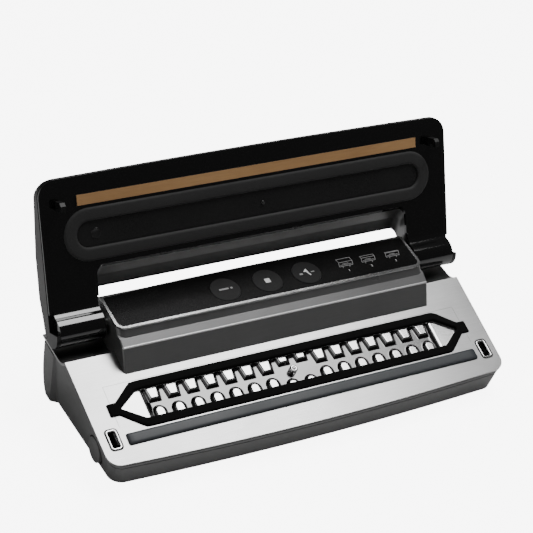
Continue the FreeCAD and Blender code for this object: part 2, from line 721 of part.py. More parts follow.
tray_outer = inset(gasket_core, S.fit_gap)
tray = prism_z(tray_outer, -S.tray_floor - S.tray_sheet, -S.gasket_seat)
tray = tray.cut(prism_z(gasket_inner, -S.tray_floor, 9))
finger_pitch = 16.6
rear_row = gasket_inner[2 + 1][1]
front_row = gasket_inner[0][1]
for i in range(16):
    x = (i - 7.5) * finger_pitch
    short = 5.0 if i in (7, 8) else 0.0
    tray = tray.fuse(box_z(x - 4.6, x + 4.6, rear_row - 10.5 + short, rear_row + 1,
                           -S.tray_floor - 0.4, -S.gasket_seat))
    tray = tray.fuse(box_z(x - 4.4, x + 4.4, front_row - 1, front_row + 8.5 - short,
                           -S.tray_floor - 0.4, -S.gasket_seat))
nozzle_place = (-4.0, S.chamber_middle - 1.0)
nozzle_bore = Part.makeCylinder(1.5, 30, Vector(nozzle_place[0], nozzle_place[1], -15))
solid_node("drip_tray", tray.cut(nozzle_bore), DECK)

nozzle = Part.makeCylinder(S.nozzle_radius, S.nozzle_height,
                           Vector(nozzle_place[0], nozzle_place[1], -S.tray_floor))
for level in (1.6, 3.0):
    rib = Part.makeCylinder(S.nozzle_radius + 0.7, 0.7,
                            Vector(nozzle_place[0], nozzle_place[1], -S.tray_floor + level))
    nozzle = nozzle.fuse(rib)
solid_node("suction_nozzle", nozzle.cut(nozzle_bore), DECK)

# ---------------------------------------------------------------- sealing bar

half_bar = S.bar_width / 2
crown_start = S.bar_proud - half_bar * 0.62


def yz(y, z, x=0.0):
    return Vector(x, y, z)


bar_edges = [
    Part.LineSegment(yz(-half_bar, -S.bar_depth), yz(half_bar, -S.bar_depth)).toShape(),
    Part.LineSegment(yz(half_bar, -S.bar_depth), yz(half_bar, crown_start)).toShape(),
    Part.Arc(yz(half_bar, crown_start), yz(0, S.bar_proud), yz(-half_bar, crown_start)).toShape(),
    Part.LineSegment(yz(-half_bar, crown_start), yz(-half_bar, -S.bar_depth)).toShape(),
]
bar = Part.Face(Part.Wire(bar_edges)).extrude(Vector(2 * S.bar_half, 0, 0))
bar.translate(Vector(-S.bar_half, S.bar_middle, 0))
solid_node("silicone_bar", bar, DECK)

channel = new_body("bar_channel", DECK)
channel_outer = new_sketch(channel, "XY_Plane", "-Sizes.bar_depth - 1.6")
add_rectangle(channel_outer, "-Sizes.bar_half - 2", "Sizes.bar_middle - Sizes.bar_width / 2 - 1.6",
              "2 * Sizes.bar_half + 4", "Sizes.bar_width + 3.2")
pad(channel, channel_outer, "Sizes.bar_depth + 1.6 - Sizes.deck_thick")
channel_inner = new_sketch(channel, "XY_Plane", "-Sizes.bar_depth")
add_rectangle(channel_inner, "-Sizes.bar_half", "Sizes.bar_middle - Sizes.bar_width / 2",
              "2 * Sizes.bar_half", "Sizes.bar_width")
pocket(channel, channel_inner, "10", backwards=True)
keep(channel)

# ---------------------------------------------------------------- latches

button_deck = to_deck(S.release_place, S.release_height)
bar_rear = S.bar_middle + S.bar_width / 2 + 1.6
for side, name in ((-1, "left"), (1, "right")):
    surround = new_body("latch_surround_" + name, DECK)
    ring = new_sketch(surround, "XY_Plane", "-Sizes.deck_thick")
    middle = "%d * Sizes.latch_place" % side
    add_rectangle(ring, middle + " - Sizes.slot_width / 2 - Sizes.surround_width",
                  "Sizes.latch_middle - Sizes.slot_length / 2 - Sizes.surround_width",
                  "Sizes.slot_width + 2 * Sizes.surround_width",
                  "Sizes.slot_length + 2 * Sizes.surround_width")
    add_rectangle(ring, middle + " - Sizes.slot_width / 2", "Sizes.latch_middle - Sizes.slot_length / 2",
                  "Sizes.slot_width", "Sizes.slot_length")
    pad(surround, ring, "Sizes.deck_thick + Sizes.surround_proud")
    keep(surround)

    face_x = side * (S.half_width - S.skirt_inset - S.skirt_draft + 1.6 + S.release_proud)
    root_x = side * (S.half_width - 7.5)
    centre = Vector(face_x, S.release_place, S.release_height)
    key = Part.makeCylinder(S.release_radius, abs(face_x - root_x), centre, Vector(-side, 0, 0))
    solid_node("release_button_" + name, key, GROUND)

    # the catch is a rod from the button, a web at its inner end and a finger
    # that reaches from the web's top to the hook's inner side
    button_y, button_z = button_deck
    web_x = S.latch_place - 7.8
    top = -S.deck_thick - 0.4
    finger_tip = S.latch_place - S.hook_width / 2 - 0.4
    catch = Part.makeCylinder(3.0, root_x * side - web_x, Vector(web_x, button_y, button_z), Vector(1, 0, 0))
    catch = catch.fuse(box_z(web_x, web_x + 1.4, bar_rear + 0.5, bar_rear + 7, button_z - 3.6, top))
    catch = catch.fuse(box_z(web_x, finger_tip, bar_rear + 0.5, bar_rear + 5, top - 2.2, top))
    catch = catch.fuse(box_z(finger_tip - 3, finger_tip, S.latch_middle - 3, bar_rear + 1, top - 2.2, top))
    if side < 0:
        catch = catch.mirror(Vector(0, 0, 0), Vector(1, 0, 0))
    solid_node("latch_catch_" + name, catch, DECK)

    seat_x = side * (web_x - S.spring_room)
    # the spring's length is what is left with the button pressed home
    spring = Part.makeCylinder(S.spring_radius, S.spring_room - S.release_travel - 0.1,
                               Vector(seat_x, button_y, button_z), Vector(side, 0, 0))
    spring = spring.cut(Part.makeCylinder(S.spring_radius - S.spring_wire, 60,
                                          Vector(side * (web_x + 20), button_y, button_z),
                                          Vector(-side, 0, 0)))
    solid_node("latch_spring_" + name, spring, DECK)
    seat = box_z(min(seat_x, seat_x - side * 3), max(seat_x, seat_x - side * 3), S.release_place - 7,
                 S.release_place + 7, housing_floor + S.plate_thick, S.release_height + 7)
    solid_node("spring_seat_" + name, seat, GROUND)

# ---------------------------------------------------------------- hinge

bush_outer = S.pin_radius + S.running_gap + S.bush_wall
for side, name in ((-1, "left"), (1, "right")):
    pin = new_body("hinge_pin_" + name, DECK)
    pin_sketch = new_sketch(pin, "YZ_Plane", "%d * (Sizes.box_half - 10)" % side)
    add_circle(pin_sketch, "Sizes.hinge_back", "Sizes.hinge_rise", "Sizes.pin_radius")
    pad(pin, pin_sketch, "Sizes.barrel_inner + Sizes.pin_reach - Sizes.box_half + 10", backwards=side < 0)
    keep(pin)

    bracket = box_z(*sorted((side * (S.box_half - 10), side * box_cut)), S.hinge_back - 9, S.hinge_back + 9,
                    S.hinge_rise - 11, S.hinge_rise + 7)
    bracket = bracket.cut(Part.makeCylinder(S.pin_radius, 600, Vector(-300, S.hinge_back, S.hinge_rise),
                                            Vector(1, 0, 0)))
    solid_node("hinge_bracket_" + name, bracket, DECK)

    bush = new_body("hinge_bush_" + name, LID)
    bush_sketch = new_sketch(bush, "YZ_Plane", "%d * Sizes.barrel_inner" % side)
    add_circle(bush_sketch, "0", "0", "Sizes.pin_radius + Sizes.running_gap + Sizes.bush_wall")
    add_circle(bush_sketch, "0", "0", "Sizes.pin_radius + Sizes.running_gap")
    pad(bush, bush_sketch, "Sizes.pin_reach + 1", backwards=side < 0)
    keep(bush)

# ---------------------------------------------------------------- lid

def lid_plan(inwards, low, high):
    half = S.lid_half - inwards
    front = -(S.lid_reach - inwards)
    face = rounded_plan(plan_outline(half, half, front, 40, S.lid_bow), S.lid_corner - inwards,
                        [(-half, front), (half, front)])
    solid = face.extrude(Vector(0, 0, high - low))
    solid = solid.mirror(Vector(0, 0, 0), Vector(0, 1, 0))
    solid.translate(Vector(0, 0, low))
    return solid


def cutout(margin):
    """The rear cutout over the control housing, grown by a margin."""
    upper = S.cut_knee_slant / S.cut_knee
    lower = (S.cut_slant - S.cut_knee_slant) / (S.lid_rear_thick - S.cut_knee)
    top, bottom = 20.0, -30.0
    knee = S.cut_reach - S.cut_knee_slant
    wall = [(S.cut_reach + upper * top, top), (knee, -S.cut_knee),
            (knee + lower * (bottom + S.cut_knee), bottom)]
    grown = [(y + margin * math.hypot(1, upper), z) for y, z in wall]
    points = [(-60, bottom), grown[2], grown[1], grown[0], (-60, top)]
    block_shape = prism_x(points, -S.cut_half - margin, S.cut_half + margin)
    corners = [edge for edge in block_shape.Edges
               if edge.BoundBox.XLength < 0.01 and edge.BoundBox.YMin > -50 and edge.BoundBox.ZLength > 1]
    return block_shape.makeFillet(S.cut_corner, corners)


def barrel(radius, x0, x1):
    return Part.makeCylinder(radius, abs(x1 - x0), Vector(x0, 0, 0), Vector(math.copysign(1, x1 - x0), 0, 0))


def stadium(radius, low, high):
    """A slab with round ends about the ring's two centres."""
    slab = box_z(-S.ring_bend, S.ring_bend, S.ring_middle - radius, S.ring_middle + radius, low, high)
    for x in (-S.ring_bend, S.ring_bend):
        slab = slab.fuse(Part.makeCylinder(radius, high - low, Vector(x, S.ring_middle, low)))
    return slab.removeSplitter()


# a hollow fillet runs from the lid's inner face onto each barrel
crease_radius = (S.barrel_crease ** 2 - S.barrel_radius ** 2) / (2 * S.barrel_radius)
crease_centre = (S.barrel_crease, crease_radius)
share = S.barrel_radius / (S.barrel_radius + crease_radius)
touch = (crease_centre[0] * share, crease_centre[1] * share)
crease_middle = arc_point(crease_centre, crease_radius, (S.barrel_crease + 2 * touch[0]) / 3)
crease_face = Part.Face(Part.Wire([
    Part.LineSegment(yz(0, -1), yz(S.barrel_crease, -1)).toShape(),
    Part.LineSegment(yz(S.barrel_crease, -1), yz(S.barrel_crease, 0)).toShape(),
    Part.Arc(yz(S.barrel_crease, 0), yz(*crease_middle), yz(*touch)).toShape(),
    Part.LineSegment(yz(*touch), yz(0, touch[1])).toShape(),
    Part.LineSegment(yz(0, touch[1]), yz(0, -1)).toShape(),
]))

frame_shape = lid_plan(0.3, -S.frame_thick, 0).common(box_z(-400, 400, 0, 400, -9, 9))
for side in (-1, 1):
    inner, outer = side * S.barrel_inner, side * S.barrel_outer
    frame_shape = frame_shape.fuse(barrel(S.barrel_radius, inner, outer))
    crease = crease_face.extrude(Vector(outer - inner, 0, 0)).translated(Vector(inner, 0, 0))
    frame_shape = frame_shape.fuse(crease)
frame_shape = frame_shape.cut(cutout(0))
for side in (-1, 1):
    bush_end = S.barrel_inner + S.pin_reach + 1
    frame_shape = frame_shape.cut(barrel(bush_outer, side * S.barrel_inner, side * bush_end))
    ends = sorted((side * S.barrel_inner, side * (S.cut_half - 1)))
    frame_shape = frame_shape.cut(box_z(ends[0], ends[1], -20, 22, -20, 20))
    rim = sorted((side * S.barrel_outer, side * 200))
    frame_shape = frame_shape.cut(barrel(S.barrel_radius + 2, rim[0], rim[1]))
frame_shape = frame_shape.cut(stadium(S.ring_radius, -S.ring_seat, 9))
strip_seat = 1.4
frame_shape = frame_shape.cut(box_z(-S.strip_half, S.strip_half, S.strip_middle - S.strip_width / 2,
                                    S.strip_middle + S.strip_width / 2, -strip_seat, 9))
solid_node("lid_frame", frame_shape, LID)

cover_outline = [
    (0.0, -S.frame_thick), (0.0, -13.0), (6.0, -13.4), (24.0, -S.lid_rear_thick),
    (58.0, -S.lid_rear_thick + 0.8),
    (S.lid_reach - 9, -S.lid_front_thick), (S.lid_reach - 1.8, -S.lid_front_thick + 2.6),
    (S.lid_reach + S.lid_bow, -S.frame_thick),
]
cover_prism = prism_x(cover_outline, -S.lid_half, S.lid_half).common(lid_plan(0, -40, -S.frame_thick))
lid_hollow = prism_x(inset(cover_outline, S.lid_wall), -S.lid_half + S.lid_wall, S.lid_half - S.lid_wall)
lid_hollow = lid_hollow.fuse(lid_hollow.translated(Vector(0, 0, S.lid_wall)))
lid_hollow = lid_hollow.common(lid_plan(S.lid_wall, -40, 9)).cut(cutout(S.lid_wall))
cover = cover_prism.cut(lid_hollow).cut(cutout(0))
for side in (-1, 1):
    cheek = sorted((side * (S.barrel_outer + 0.2), side * S.lid_half))
    span = sorted((side * (S.cut_half - 1), side * (S.barrel_outer + 0.2)))
    cover = cover.cut(barrel(S.barrel_radius + 0.1, span[0], span[1]))
    round_cheek = barrel(S.barrel_radius + 0.2, cheek[0], cheek[1])
    cover = cover.fuse(round_cheek.cut(box_z(-400, 400, 0, 400, -S.frame_thick, 40)))
solid_node("lid_cover", cover, LID)

ring = stadium(S.ring_radius, -S.ring_seat, S.ring_proud).cut(stadium(S.ring_inner, -9, 9))
solid_node("lid_gasket", ring, LID)
solid_node("lid_recess", stadium(S.ring_inner - S.fit_gap, -S.ring_seat, -0.7), LID)

support = new_body("heater_support", LID)
support_sketch = new_sketch(support, "XY_Plane", "-1.4")
add_rectangle(support_sketch, "-Sizes.strip_half + 0.2", "Sizes.strip_middle - Sizes.strip_width / 2 + 0.2",
              "2 * Sizes.strip_half - 0.4", "Sizes.strip_width - 0.4")
pad(support, support_sketch, "1.4 + Sizes.strip_proud - Sizes.tape_thick - Sizes.wire_thick")
keep(support)
keep(block("heating_wire", LID, "-Sizes.strip_half + 3", "Sizes.strip_middle - Sizes.wire_width / 2",
           "Sizes.strip_proud - Sizes.tape_thick - Sizes.wire_thick", "2 * Sizes.strip_half - 6",
           "Sizes.wire_width", "Sizes.wire_thick"))
keep(block("release_tape", LID, "-Sizes.strip_half + 0.6", "Sizes.strip_middle - Sizes.strip_width / 2 + 0.4",
           "Sizes.strip_proud - Sizes.tape_thick", "2 * Sizes.strip_half - 1.2",
           "Sizes.strip_width - 0.8", "Sizes.tape_thick"))

for side, name in ((-1, "left"), (1, "right")):
    x0, x1 = sorted((side * (S.latch_place - S.hook_width / 2), side * (S.latch_place + S.hook_width / 2)))
    middle = S.hinge_back - S.latch_middle
    hook = box_z(x0, x1, middle - S.hook_length / 2, middle + S.hook_length / 2, 0, S.hook_reach)
    tip = [(middle - S.hook_length / 2 - 1, S.hook_reach + 1),
           (middle + S.hook_length / 2 + 1, S.hook_reach + 1),
           (middle + S.hook_length / 2 + 1, S.hook_reach - 3.4), (middle + 1.0, S.hook_reach)]
    hook = hook.cut(prism_x(tip, x0 - 1, x1 + 1))
    hook = hook.cut(box_z(x0 - 1, x1 + 1, middle - S.hook_length / 2 - 1,
                          middle - S.hook_length / 2 + S.hook_nose, 4.0, S.hook_reach - 3.6))
    solid_node("lid_hook_" + name, hook, LID)

# ---------------------------------------------------------------- drive train

motor = new_body("vacuum_motor", GROUND)
motor_sketch = new_sketch(motor, "YZ_Plane", "-112")
add_circle(motor_sketch, "Sizes.rear_depth - Sizes.drive_inset",
           "Sizes.foot_height + 3 + Sizes.motor_radius", "Sizes.motor_radius")
pad(motor, motor_sketch, "Sizes.motor_length")
keep(motor)
keep(block("pump_head", GROUND, "-112 + Sizes.motor_length",
           "Sizes.rear_depth - Sizes.drive_inset - Sizes.pump_width / 2",
           "Sizes.foot_height + 2.5", "Sizes.pump_width", "Sizes.pump_width", "Sizes.pump_width + 2"))
keep(block("transformer", GROUND, "30", "Sizes.rear_depth - 62", "Sizes.foot_height + 2.5",
           "Sizes.transformer_width", "44", "36"))
hose_floor = housing_floor + S.plate_thick + S.hose_radius + 1
pump_mouth = Vector(-112 + S.motor_length + S.pump_width / 2,
                    S.rear_depth - S.drive_inset - S.pump_width / 2, hose_floor + 6)
tray_mouth = DECK.multVec(Vector(nozzle_place[0], nozzle_place[1], -S.tray_floor - S.tray_sheet))
tray_mouth = GROUND.inverse().multVec(tray_mouth)
hose_route = [pump_mouth, pump_mouth - Vector(0, 16, 0),
              Vector(tray_mouth.x, tray_mouth.y, hose_floor), tray_mouth]
hose = None
for start, end in zip(hose_route, hose_route[1:]):
    piece = Part.makeCylinder(S.hose_radius, (end - start).Length, start, end - start)
    hose = piece if hose is None else hose.fuse(piece).fuse(Part.makeSphere(S.hose_radius, start))
under_tray = placed(below_deck(S.tray_floor + S.tray_sheet, 400), DECK_IN_GROUND)
hose = hose.common(under_tray).common(box_z(-400, 400, -400, pump_mouth.y, -400, 400))
solid_node("suction_hose", hose, GROUND)

for side, name in ((-1, "left"), (1, "right")):
    x0, x1 = sorted((side * (S.latch_place - 9.8), side * (S.latch_place - 0.6)))
    switch = box_z(x0, x1, S.latch_middle + 14, S.latch_middle + 28, -S.deck_thick - 9, -S.deck_thick)
    solid_node("lid_switch_" + name, switch, DECK)

gland_place = Vector(S.gland_place, S.rear_depth, S.gland_height)
gland = Part.makeCylinder(6.4, 2, gland_place, Vector(0, 1, 0))
gland = gland.fuse(Part.makeCylinder(5.0, 8, gland_place - Vector(0, 6, 0), Vector(0, 1, 0)))
gland = gland.fuse(Part.makeCone(6.0, 5.0, 7, gland_place + Vector(0, 2, 0), Vector(0, 1, 0)))
gland = gland.cut(Part.makeCylinder(3.3, 60, gland_place - Vector(0, 30, 0), Vector(0, 1, 0)))
solid_node("cable_gland", gland, GROUND)

# ---------------------------------------------------------------- output

doc.recompute()
os.makedirs("parts", exist_ok=True)
for item in doc.Objects:
    if "Invalid" in item.State or "Error" in item.State:
        raise RuntimeError("%s: %s" % (item.Label, item.State))
for node in NODES:
    if node.Shape.isNull() or not node.Shape.isValid():
        raise RuntimeError("%s has no valid shape" % node.Label)
    node.Shape.exportStep("parts/%s.step" % node.Label)
    box = node.Shape.BoundBox
    print("%-22s %8.1f mm3  x %.1f..%.1f  y %.1f..%.1f  z %.1f..%.1f" % (
        node.Label, node.Shape.Volume, box.XMin, box.XMax, box.YMin, box.YMax, box.ZMin, box.ZMax))
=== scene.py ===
import math

import bpy
import numpy as np
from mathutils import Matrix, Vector


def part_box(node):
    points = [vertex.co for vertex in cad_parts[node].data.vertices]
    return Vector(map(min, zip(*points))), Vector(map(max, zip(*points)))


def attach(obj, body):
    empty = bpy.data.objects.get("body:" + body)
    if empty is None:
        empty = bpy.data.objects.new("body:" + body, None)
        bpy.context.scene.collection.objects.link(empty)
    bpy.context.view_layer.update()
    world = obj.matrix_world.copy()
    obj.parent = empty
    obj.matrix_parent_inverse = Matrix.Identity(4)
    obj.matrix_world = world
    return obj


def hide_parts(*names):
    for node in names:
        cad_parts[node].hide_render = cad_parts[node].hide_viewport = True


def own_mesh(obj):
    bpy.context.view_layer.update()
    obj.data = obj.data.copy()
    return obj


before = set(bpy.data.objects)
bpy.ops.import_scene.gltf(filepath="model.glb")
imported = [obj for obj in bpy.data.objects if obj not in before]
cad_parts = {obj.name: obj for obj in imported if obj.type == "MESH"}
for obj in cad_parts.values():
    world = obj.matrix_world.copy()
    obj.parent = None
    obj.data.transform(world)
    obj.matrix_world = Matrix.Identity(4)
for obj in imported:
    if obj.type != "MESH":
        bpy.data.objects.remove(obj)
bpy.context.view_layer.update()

mm = 0.001

# the machine's own tilted frames: y and z of the origin in mm, and the tilt in degrees
tilts = {
    "deck": (-79.6, 25.5, 20.0),
    "panel": (6.145, 78.205, 7.9),
    "lid": (30.385, 69.788, 67.1),
}
chamberMiddle = 44.8


def inFrame(name, x, y, z):
    # turn (y, z) by the frame's tilt, add its origin, and go from mm to m
    oy, oz, angle = tilts[name]
    c, s = math.cos(math.radians(angle)), math.sin(math.radians(angle))
    x, y, z = np.broadcast_arrays(np.asarray(x, float), y, z)
    return np.stack([x, oy + y * c - z * s, oz + y * s + z * c], axis=-1) * mm


# mesh helpers

def meshFrom(name, points, faces, look, body, smooth=True):
    mesh = bpy.data.meshes.new(name)
    mesh.from_pydata(points.tolist(), [], faces)
    mesh.update()
    mesh.polygons.foreach_set("use_smooth", [smooth] * len(mesh.polygons))
    item = bpy.data.objects.new(name, mesh)
    bpy.context.scene.collection.objects.link(item)
    mesh.materials.append(look)
    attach(item, body)
    return item


def outward(faces, points):
    # a closed surface has a positive volume when its faces look outwards:
    # sum of each face's corner dotted with its doubled area
    volume = 0.0
    for f in faces:
        p = points[list(f)]
        for i in range(1, len(f) - 1):
            volume += np.dot(p[0], np.cross(p[i], p[i + 1]))
    return faces if volume > 0 else [tuple(reversed(f)) for f in faces]


def gridFaces(rows, cols, closeRows, closeCols):
    # the four corners of each cell of a rows by cols grid, with wrap round where closed
    i, j = np.meshgrid(np.arange(rows if closeRows else rows - 1),
                       np.arange(cols if closeCols else cols - 1), indexing="ij")
    a, b = i * cols + j, i * cols + (j + 1) % cols
    c, d = ((i + 1) % rows) * cols + (j + 1) % cols, ((i + 1) % rows) * cols + j
    return np.stack([a, b, c, d], axis=-1).reshape(-1, 4)


def ringPiece(name, outer, inner, profile, where, look, body):
    # each profile point (w, h) lies at outer * (1 - w) + inner * w in the plane and h above it;
    # the profile is a closed loop carried once round the two outlines
    w, h = np.array(profile).T
    flat = outer[:, None, :] * (1 - w)[None, :, None] + inner[:, None, :] * w[None, :, None]
    points = inFrame(where, flat[..., 0], flat[..., 1], np.broadcast_to(h, flat.shape[:2])).reshape(-1, 3)
    faces = outward([tuple(f) for f in gridFaces(len(outer), len(w), True, True).tolist()], points)
    return meshFrom(name, points, faces, look, body)


def softOutline(corners, radii, steps):
    # every corner of a closed outline becomes an arc of its radius, with the same number of points
    loop = []
    corners = np.array(corners, float)
    for k, (at, radius) in enumerate(zip(corners, radii)):
        back, ahead = corners[k - 1] - at, corners[(k + 1) % len(corners)] - at
        back, ahead = back / np.linalg.norm(back), ahead / np.linalg.norm(ahead)
        half = math.acos(max(-1, min(1, float(back @ ahead)))) / 2
        reach = radius / math.tan(half)
        middle = at + (back + ahead) / np.linalg.norm(back + ahead) * radius / math.sin(half)
        start, end = at + back * reach - middle, at + ahead * reach - middle
        a0, a1 = math.atan2(start[1], start[0]), math.atan2(end[1], end[0])
        turn = (a1 - a0 + math.pi) % (2 * math.pi) - math.pi
        a = a0 + turn * np.linspace(0, 1, steps)
        loop.append(np.stack([middle[0] + radius * np.cos(a), middle[1] + radius * np.sin(a)], axis=-1))
    return np.concatenate(loop)


def roundedProfile(low, high, soft, steps=6):
    # a flat band from w = 0 to w = 1 with quarter rounds of the given share at its two top edges
    a = np.linspace(0, math.pi / 2, steps)
    share, drop = soft
    rise = [(share * (1 - math.sin(t)), high - drop * (1 - math.cos(t))) for t in a[::-1]]
    fall = [(1 - x, y) for x, y in reversed(rise)]
    return [(0, low)] + rise + fall + [(1, low)]


def turned(name, centre, profile, where, look, body, steps=48):
    # a profile of (radius, height) goes round the vertical axis at the centre; the first and last
    # radii are close to nothing and are closed by one face each
    angle = np.linspace(0, 2 * math.pi, steps, endpoint=False)
    r, h = np.array(profile).T
    x = centre[0] + np.cos(angle)[:, None] * r[None]
    y = centre[1] + np.sin(angle)[:, None] * r[None]
    points = inFrame(where, x, y, np.broadcast_to(h, x.shape)).reshape(-1, 3)
    faces = [tuple(f) for f in gridFaces(steps, len(r), True, False).tolist()]
    faces += [tuple(i * len(r) for i in range(steps))[::-1],
              tuple(i * len(r) + len(r) - 1 for i in range(steps))]
    return meshFrom(name, points, outward(faces, points), look, body)


# finishes

def newGroup(name, inputs, outputs):
    group = bpy.data.node_groups.new(name, "ShaderNodeTree")
    for title, kind, value in inputs:
        socket = group.interface.new_socket(name=title, in_out="INPUT", socket_type=kind)
        if value is not None:
            socket.default_value = value
    for title, kind in outputs:
        group.interface.new_socket(name=title, in_out="OUTPUT", socket_type=kind)
    return group, group.nodes.new("NodeGroupInput"), group.nodes.new("NodeGroupOutput")


def mathNode(tree, kind, a, b=None):
    node = tree.nodes.new("ShaderNodeMath")
    node.operation = kind
    for socket, value in zip(node.inputs, (a, b)):
        if value is None:
            continue
        if isinstance(value, (int, float)):
            socket.default_value = value
        else:
            tree.links.new(value, socket)
    return node.outputs[0]


def noiseNode(tree, vector, scale, detail=3.0, rough=0.55):
    node = tree.nodes.new("ShaderNodeTexNoise")
    tree.links.new(vector, node.inputs["Vector"])
    if isinstance(scale, (int, float)):
        node.inputs["Scale"].default_value = scale
    else:
        tree.links.new(scale, node.inputs["Scale"])
    node.inputs["Detail"].default_value = detail
    node.inputs["Roughness"].default_value = rough
    return node.outputs["Fac"]


def buildBrushing():
    # noise stretched along one axis gives lines; a second, finer set is added to it
    group, gin, gout = newGroup("brushing", [("Vector", "NodeSocketVector", None),
                                             ("Stretch", "NodeSocketVector", (1, 60, 60)),
                                             ("Scale", "NodeSocketFloat", 60.0)],
                                [("Lines", "NodeSocketFloat"), ("Height", "NodeSocketFloat")])
    stretch = group.nodes.new("ShaderNodeVectorMath")
    stretch.operation = "MULTIPLY"
    group.links.new(gin.outputs["Vector"], stretch.inputs[0])
    group.links.new(gin.outputs["Stretch"], stretch.inputs[1])
    coarse = noiseNode(group, stretch.outputs[0], gin.outputs["Scale"], 2.0)
    finer = mathNode(group, "MULTIPLY", gin.outputs["Scale"], 3.1)
    fine = noiseNode(group, stretch.outputs[0], finer, 3.0)
    mixed = mathNode(group, "ADD", mathNode(group, "MULTIPLY", coarse, 0.45),
                     mathNode(group, "MULTIPLY", fine, 0.55))
    group.links.new(mixed, gout.inputs["Lines"])
    group.links.new(mixed, gout.inputs["Height"])
    return group


def buildGrain():
    # fine cells with soft noise in them, as moulded plastic and foam have
    group, gin, gout = newGroup("grain", [("Vector", "NodeSocketVector", None),
                                          ("Scale", "NodeSocketFloat", 900.0)],
                                [("Lines", "NodeSocketFloat"), ("Height", "NodeSocketFloat")])
    cells = group.nodes.new("ShaderNodeTexVoronoi")
    cells.feature = "SMOOTH_F1"
    group.links.new(gin.outputs["Vector"], cells.inputs["Vector"])
    group.links.new(gin.outputs["Scale"], cells.inputs["Scale"])
    softScale = mathNode(group, "MULTIPLY", gin.outputs["Scale"], 0.6)
    soft = noiseNode(group, gin.outputs["Vector"], softScale, 4.0)
    mixed = mathNode(group, "ADD", mathNode(group, "MULTIPLY", cells.outputs["Distance"], 0.6),
                     mathNode(group, "MULTIPLY", soft, 0.4))
    group.links.new(mixed, gout.inputs["Lines"])
    group.links.new(mixed, gout.inputs["Height"])
    return group


def buildHandling():
    # broad soft patches where hands and cloths have been
    group, gin, gout = newGroup("handling", [("Vector", "NodeSocketVector", None),
                                             ("Scale", "NodeSocketFloat", 14.0)],
                                [("Patches", "NodeSocketFloat")])
    broad = noiseNode(group, gin.outputs["Vector"], gin.outputs["Scale"], 4.0, 0.6)
    group.links.new(broad, gout.inputs["Patches"])
    return group


surfaceGroups = {"brushing": buildBrushing(), "grain": buildGrain(), "handling": buildHandling()}


def finish(name, dark, light, rough, metal=0.0, coat=0.0, pattern="grain", scale=900.0, stretch=(1, 60, 60),
           bump=0.1, depth=0.00005, patchScale=14.0, specular=0.5):
    # base colour and roughness run between two values by the pattern and the handling patches
    m = bpy.data.materials.new(name)
    m.use_nodes = True
    tree = m.node_tree
    shader = tree.nodes["Principled BSDF"]
    shader.inputs["Metallic"].default_value = metal
    shader.inputs["Coat Weight"].default_value = coat
    shader.inputs["Coat Roughness"].default_value = 0.06
    shader.inputs["Specular IOR Level"].default_value = specular
    place = tree.nodes.new("ShaderNodeTexCoord").outputs["Object"]
    fine = tree.nodes.new("ShaderNodeGroup")
    fine.node_tree = surfaceGroups[pattern]
    fine.inputs["Scale"].default_value = scale
    if pattern == "brushing":
        fine.inputs["Stretch"].default_value = stretch
    tree.links.new(place, fine.inputs["Vector"])
    hands = tree.nodes.new("ShaderNodeGroup")
    hands.node_tree = surfaceGroups["handling"]
    hands.inputs["Scale"].default_value = patchScale
    tree.links.new(place, hands.inputs["Vector"])
    amount = mathNode(tree, "ADD", mathNode(tree, "MULTIPLY", fine.outputs["Lines"], 0.6),
                      mathNode(tree, "MULTIPLY", hands.outputs["Patches"], 0.4))
    spread = tree.nodes.new("ShaderNodeMapRange")
    spread.inputs["From Min"].default_value = 0.3
    spread.inputs["From Max"].default_value = 0.7
    tree.links.new(amount, spread.inputs["Value"])
    mix = tree.nodes.new("ShaderNodeMix")
    mix.data_type = "RGBA"
    mix.inputs["A"].default_value = (*dark, 1)
    mix.inputs["B"].default_value = (*light, 1)
    tree.links.new(spread.outputs["Result"], mix.inputs["Factor"])
    tree.links.new(mix.outputs["Result"], shader.inputs["Base Color"])
    gloss = tree.nodes.new("ShaderNodeMapRange")
    gloss.inputs["From Min"].default_value = 0.35
    gloss.inputs["From Max"].default_value = 0.65
    gloss.inputs["To Min"].default_value = rough[0]
    gloss.inputs["To Max"].default_value = rough[1]
    tree.links.new(hands.outputs["Patches"], gloss.inputs["Value"])
    tree.links.new(gloss.outputs["Result"], shader.inputs["Roughness"])
    relief = tree.nodes.new("ShaderNodeBump")
    relief.inputs["Strength"].default_value = bump
    relief.inputs["Distance"].default_value = depth
    tree.links.new(fine.outputs["Height"], relief.inputs["Height"])
    tree.links.new(relief.outputs["Normal"], shader.inputs["Normal"])
    return m


def grey(value, tint=(1, 1, 1)):
    return tuple(value * t for t in tint)


